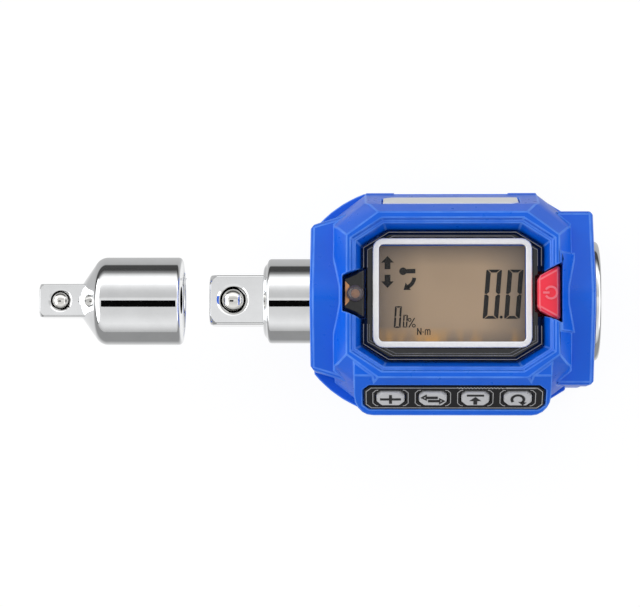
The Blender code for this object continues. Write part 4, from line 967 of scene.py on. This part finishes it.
    def borders(self, silver, sizes, offsets):
        """A thin line round the plate, a hatched stretch on it, and brackets round the keys."""
        place = self.facet @ Matrix.Translation((0, 0, -0.01 * MM))
        low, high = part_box("keypad_overlay")
        x, y = (high[0] - low[0]) / 2 / MM, 2.95
        loops = [[cut_corners(x - 0.3, y - 0.25, 1.0), cut_corners(x - 0.42, y - 0.37, 0.95)]]
        hatches = (1.0 + i * 0.62 for i in range(14))
        loops += [[stroke([(x, 2.45), (x - 0.42, 2.8)], 0.16)] for x in hatches]
        loops.append([stroke([(9.6, 2.62), (15.3, 2.62)], 0.28)])
        bracket = ((2.3, 2.1), (2.75, 2.0), (3.3, 1.35), (3.3, -1.35), (2.75, -2.0), (2.3, -2.1))
        for x in offsets.values():
            loops += [[stroke([(x / MM + side * dx, dy) for dx, dy in bracket], 0.13)] for side in (-1, 1)]
        made = [flat_figure(loop, sizes.print_height, place) for loop in loops]
        settle(joined(made, "keypad_lines"), silver, "adapter", "silver_frame")

    def plus_sign(self):
        """A wide plus."""
        arm, half = 1.95, 0.27
        return [[[(-arm, -half), (-half, -half), (-half, -1.15), (half, -1.15), (half, -half), (arm, -half),
                  (arm, half), (half, half), (half, 1.15), (-half, 1.15), (-half, half), (-arm, half)]]]

    def swap_sign(self):
        """Two open arrows, one each way."""
        shape = [(-1.9, 0.35), (-0.95, 1.1), (-0.95, 0.62), (0.75, 0.62), (0.75, 0.1), (-0.95, 0.1),
                 (-0.95, -0.3)]
        hole = [(-1.45, 0.36), (-1.15, 0.62), (-1.15, 0.1)]
        back = [(-x, -y) for x, y in shape]
        return [[grown(loop, 1.22) for loop in arrow]
                for arrow in ((shape, hole), (back, [(-x, -y) for x, y in hole]))]

    def peak_sign(self):
        """An arrow that rises to a bar, for the held peak."""
        return [[[(-1.6, 0.8), (1.6, 0.8), (1.6, 1.28), (-1.6, 1.28)]],
                [[(0, 0.66), (1.1, -0.4), (0.36, -0.4), (0.36, -1.35), (-0.36, -1.35), (-0.36, -0.4),
                  (-1.1, -0.4)]]]

    def cycle_sign(self):
        """A round arrow, for stepping through the units."""
        return [[stroke(bow((0, 0), 1.12, -50, 215, 22), 0.52)],
                [[(1.65, -0.8), (0.1, -0.62), (0.9, -1.55)]]]


class ADAPTER_OT_drive(bpy.types.Operator):
    """Model the chromed spindle with its square, collar and end flange, and its detent ball"""

    bl_idname = "adapter.drive"
    bl_label = "Drive spindle"

    def execute(self, context):
        colours, sizes, _ = settings()
        tip, face = SPINDLE[0][0], SPINDLE[1][0]
        front = [(-36.2, 6.2), (-36.1, 6.6), (-35.85, 7.0), (-35.5, 7.35), (-35.4, 7.6), (-35.3, 7.85),
                 (-35.15, 8.05), (-34.95, 8.16), (-34.7, 8.2)]
        neck = [(-22.2, 8.2), (-22.2, 7.5), (-20.1, 7.5), (-20.1, 8.2), (-18.5, 8.2), (-16.5, 6.0),
                (7.0, 6.0), (9.0, 8.2), (27.05, 8.2)]
        stations = [(x * MM, r * MM) for x, r in front + neck]
        wide = (SPINDLE[1][2] - SPINDLE[0][2]) / 2
        stations += [(27.05 * MM, wide - 0.3 * MM), (27.3 * MM, wide), *rim(face, wide, 0.85 * MM)]
        body = turned("spindle_look", stations, sizes.turned_sides, (0, AXIS_Z))
        gauge_flat = 5.2 * MM
        add_square(body, tip, -34.0 * MM, MALE_HALF, 0.4 * MM)
        carve(body, socket_cut(face, 12.0 * MM))
        for low, high in ((AXIS_Z + gauge_flat, AXIS_Z + 12 * MM), (AXIS_Z - 12 * MM, AXIS_Z - gauge_flat)):
            carve(body, add_box((-12 * MM, -9 * MM, low), (2 * MM, 9 * MM, high)))
        carve(body, drill(-42.0 * MM, AXIS_Z + MALE_HALF, radius=2.5 * MM, depth=7.2 * MM, mouth=3.1 * MM))
        smooth_turned(body)
        settle(body, chromed("spindle_chrome", colours.chrome), "adapter", "chrome", "spindle")
        bright_ball("drive_ball", "bright_ball")
        return {"FINISHED"}


class ADAPTER_OT_reducer(bpy.types.Operator):
    """Model the loose reducer with its socket, small square and detent ball"""

    bl_idname = "adapter.reducer"
    bl_label = "Reducer"

    def execute(self, context):
        colours, sizes, _ = settings()
        tip, mouth = REDUCER[0][0], REDUCER[1][0]
        wide = (REDUCER[1][2] - REDUCER[0][2]) / 2
        # the shoulder: a fillet from the flats into the cone, and a round bend to the full width
        slope, fillet, turn = math.radians(55), 0.8 * MM, wide * 0.3
        low, full = SMALL_HALF + 0.02 * MM, tip + 13.1 * MM
        angles = [slope * i / 8 for i in range(9)]
        bend = [(full - turn * math.sin(t), wide - turn * (1 - math.cos(t))) for t in reversed(angles)]
        end = low + fillet * (1 - math.cos(slope))
        start = bend[0][0] - (bend[0][1] - end) / math.tan(slope) - fillet * math.sin(slope)
        neck = [(start + fillet * math.sin(t), low + fillet * (1 - math.cos(t))) for t in angles]
        stations = [*neck, *bend, *rim(mouth, wide, 0.75 * MM)]
        body = turned("reducer_look", stations, sizes.turned_sides, (0, AXIS_Z))
        add_square(body, tip, tip + 9.05 * MM, SMALL_HALF, 0.3 * MM)
        carve(body, socket_cut(mouth, 11.5 * MM))
        way = turned("ball_way", [(mouth - 8.0 * MM, 2.63 * MM), (mouth + 1.0 * MM, 2.63 * MM)], 48,
                     (0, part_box("drive_ball")[0][2] + 2.38 * MM))
        carve(body, way)
        carve(body, drill(tip + 4.1 * MM, AXIS_Z + SMALL_HALF, radius=1.87 * MM, depth=4.6 * MM,
                          mouth=2.3 * MM))
        smooth_turned(body)
        settle(body, chromed("reducer_chrome", colours.chrome), "reducer", "chrome", "reducer_body")
        bright_ball("reducer_ball", "small_bright_ball")
        return {"FINISHED"}


class ADAPTER_OT_inside(bpy.types.Operator):
    """Finish the pieces inside the housing: boards, switches, gauges, seals, cells and contacts"""

    bl_idname = "adapter.inside"
    bl_label = "Inside pieces"

    def execute(self, context):
        finishes = {
            "circuit_board": board_green("board_green"),
            "switch_body": moulded("switch_black", srgb(28, 28, 30), 0.45, 0.05),
            "gauge_film": moulded("gauge_film", srgb(176, 112, 52), 0.4, 0.02),
            "black_rubber": rubbery("seal_rubber", srgb(22, 22, 23)),
            "plain_cell": brushed("cell_jacket", srgb(172, 176, 182), 0.34),
            "spring_steel": brushed("contact_steel", srgb(165, 167, 170), 0.32),
        }
        for row in frame["record"]["subparts"]:
            if row["material_slot"] in finishes:
                finish_node(row["node"], finishes[row["material_slot"]])
        finish_node("buzzer", glossy("buzzer_black", srgb(18, 18, 20), 0.3))
        return {"FINISHED"}


class ADAPTER_PT_panel(bpy.types.Panel):
    """The build steps and their settings in the sidebar"""

    bl_idname = "ADAPTER_PT_panel"
    bl_label = "Torque Adapter"
    bl_space_type = "VIEW_3D"
    bl_region_type = "UI"
    bl_category = "Adapter"

    def draw(self, context):
        layout = self.layout
        for group in settings():
            box = layout.box()
            for name in group.__annotations__:
                box.prop(group, name)
        for step in STEPS:
            layout.operator(step.bl_idname)


STEPS = (ADAPTER_OT_stage, ADAPTER_OT_housing, ADAPTER_OT_display, ADAPTER_OT_controls, ADAPTER_OT_drive,
         ADAPTER_OT_reducer, ADAPTER_OT_inside)
GROUPS = {"adapter_colours": AdapterColours, "adapter_sizes": AdapterSizes, "adapter_stage": AdapterStage}


def register():
    for kind in (*GROUPS.values(), *STEPS, ADAPTER_PT_panel):
        bpy.utils.register_class(kind)
    for name, group in GROUPS.items():
        setattr(bpy.types.Scene, name, PointerProperty(type=group))


def unregister():
    for name in GROUPS:
        delattr(bpy.types.Scene, name)
    for kind in (ADAPTER_PT_panel, *reversed(STEPS), *reversed(tuple(GROUPS.values()))):
        bpy.utils.unregister_class(kind)


def main():
    """Build everything in order."""
    register()
    bpy.ops.adapter.stage()
    bpy.ops.adapter.housing()
    bpy.ops.adapter.display()
    bpy.ops.adapter.controls()
    bpy.ops.adapter.drive()
    bpy.ops.adapter.reducer()
    bpy.ops.adapter.inside()


if __name__ == "__main__":
    main()
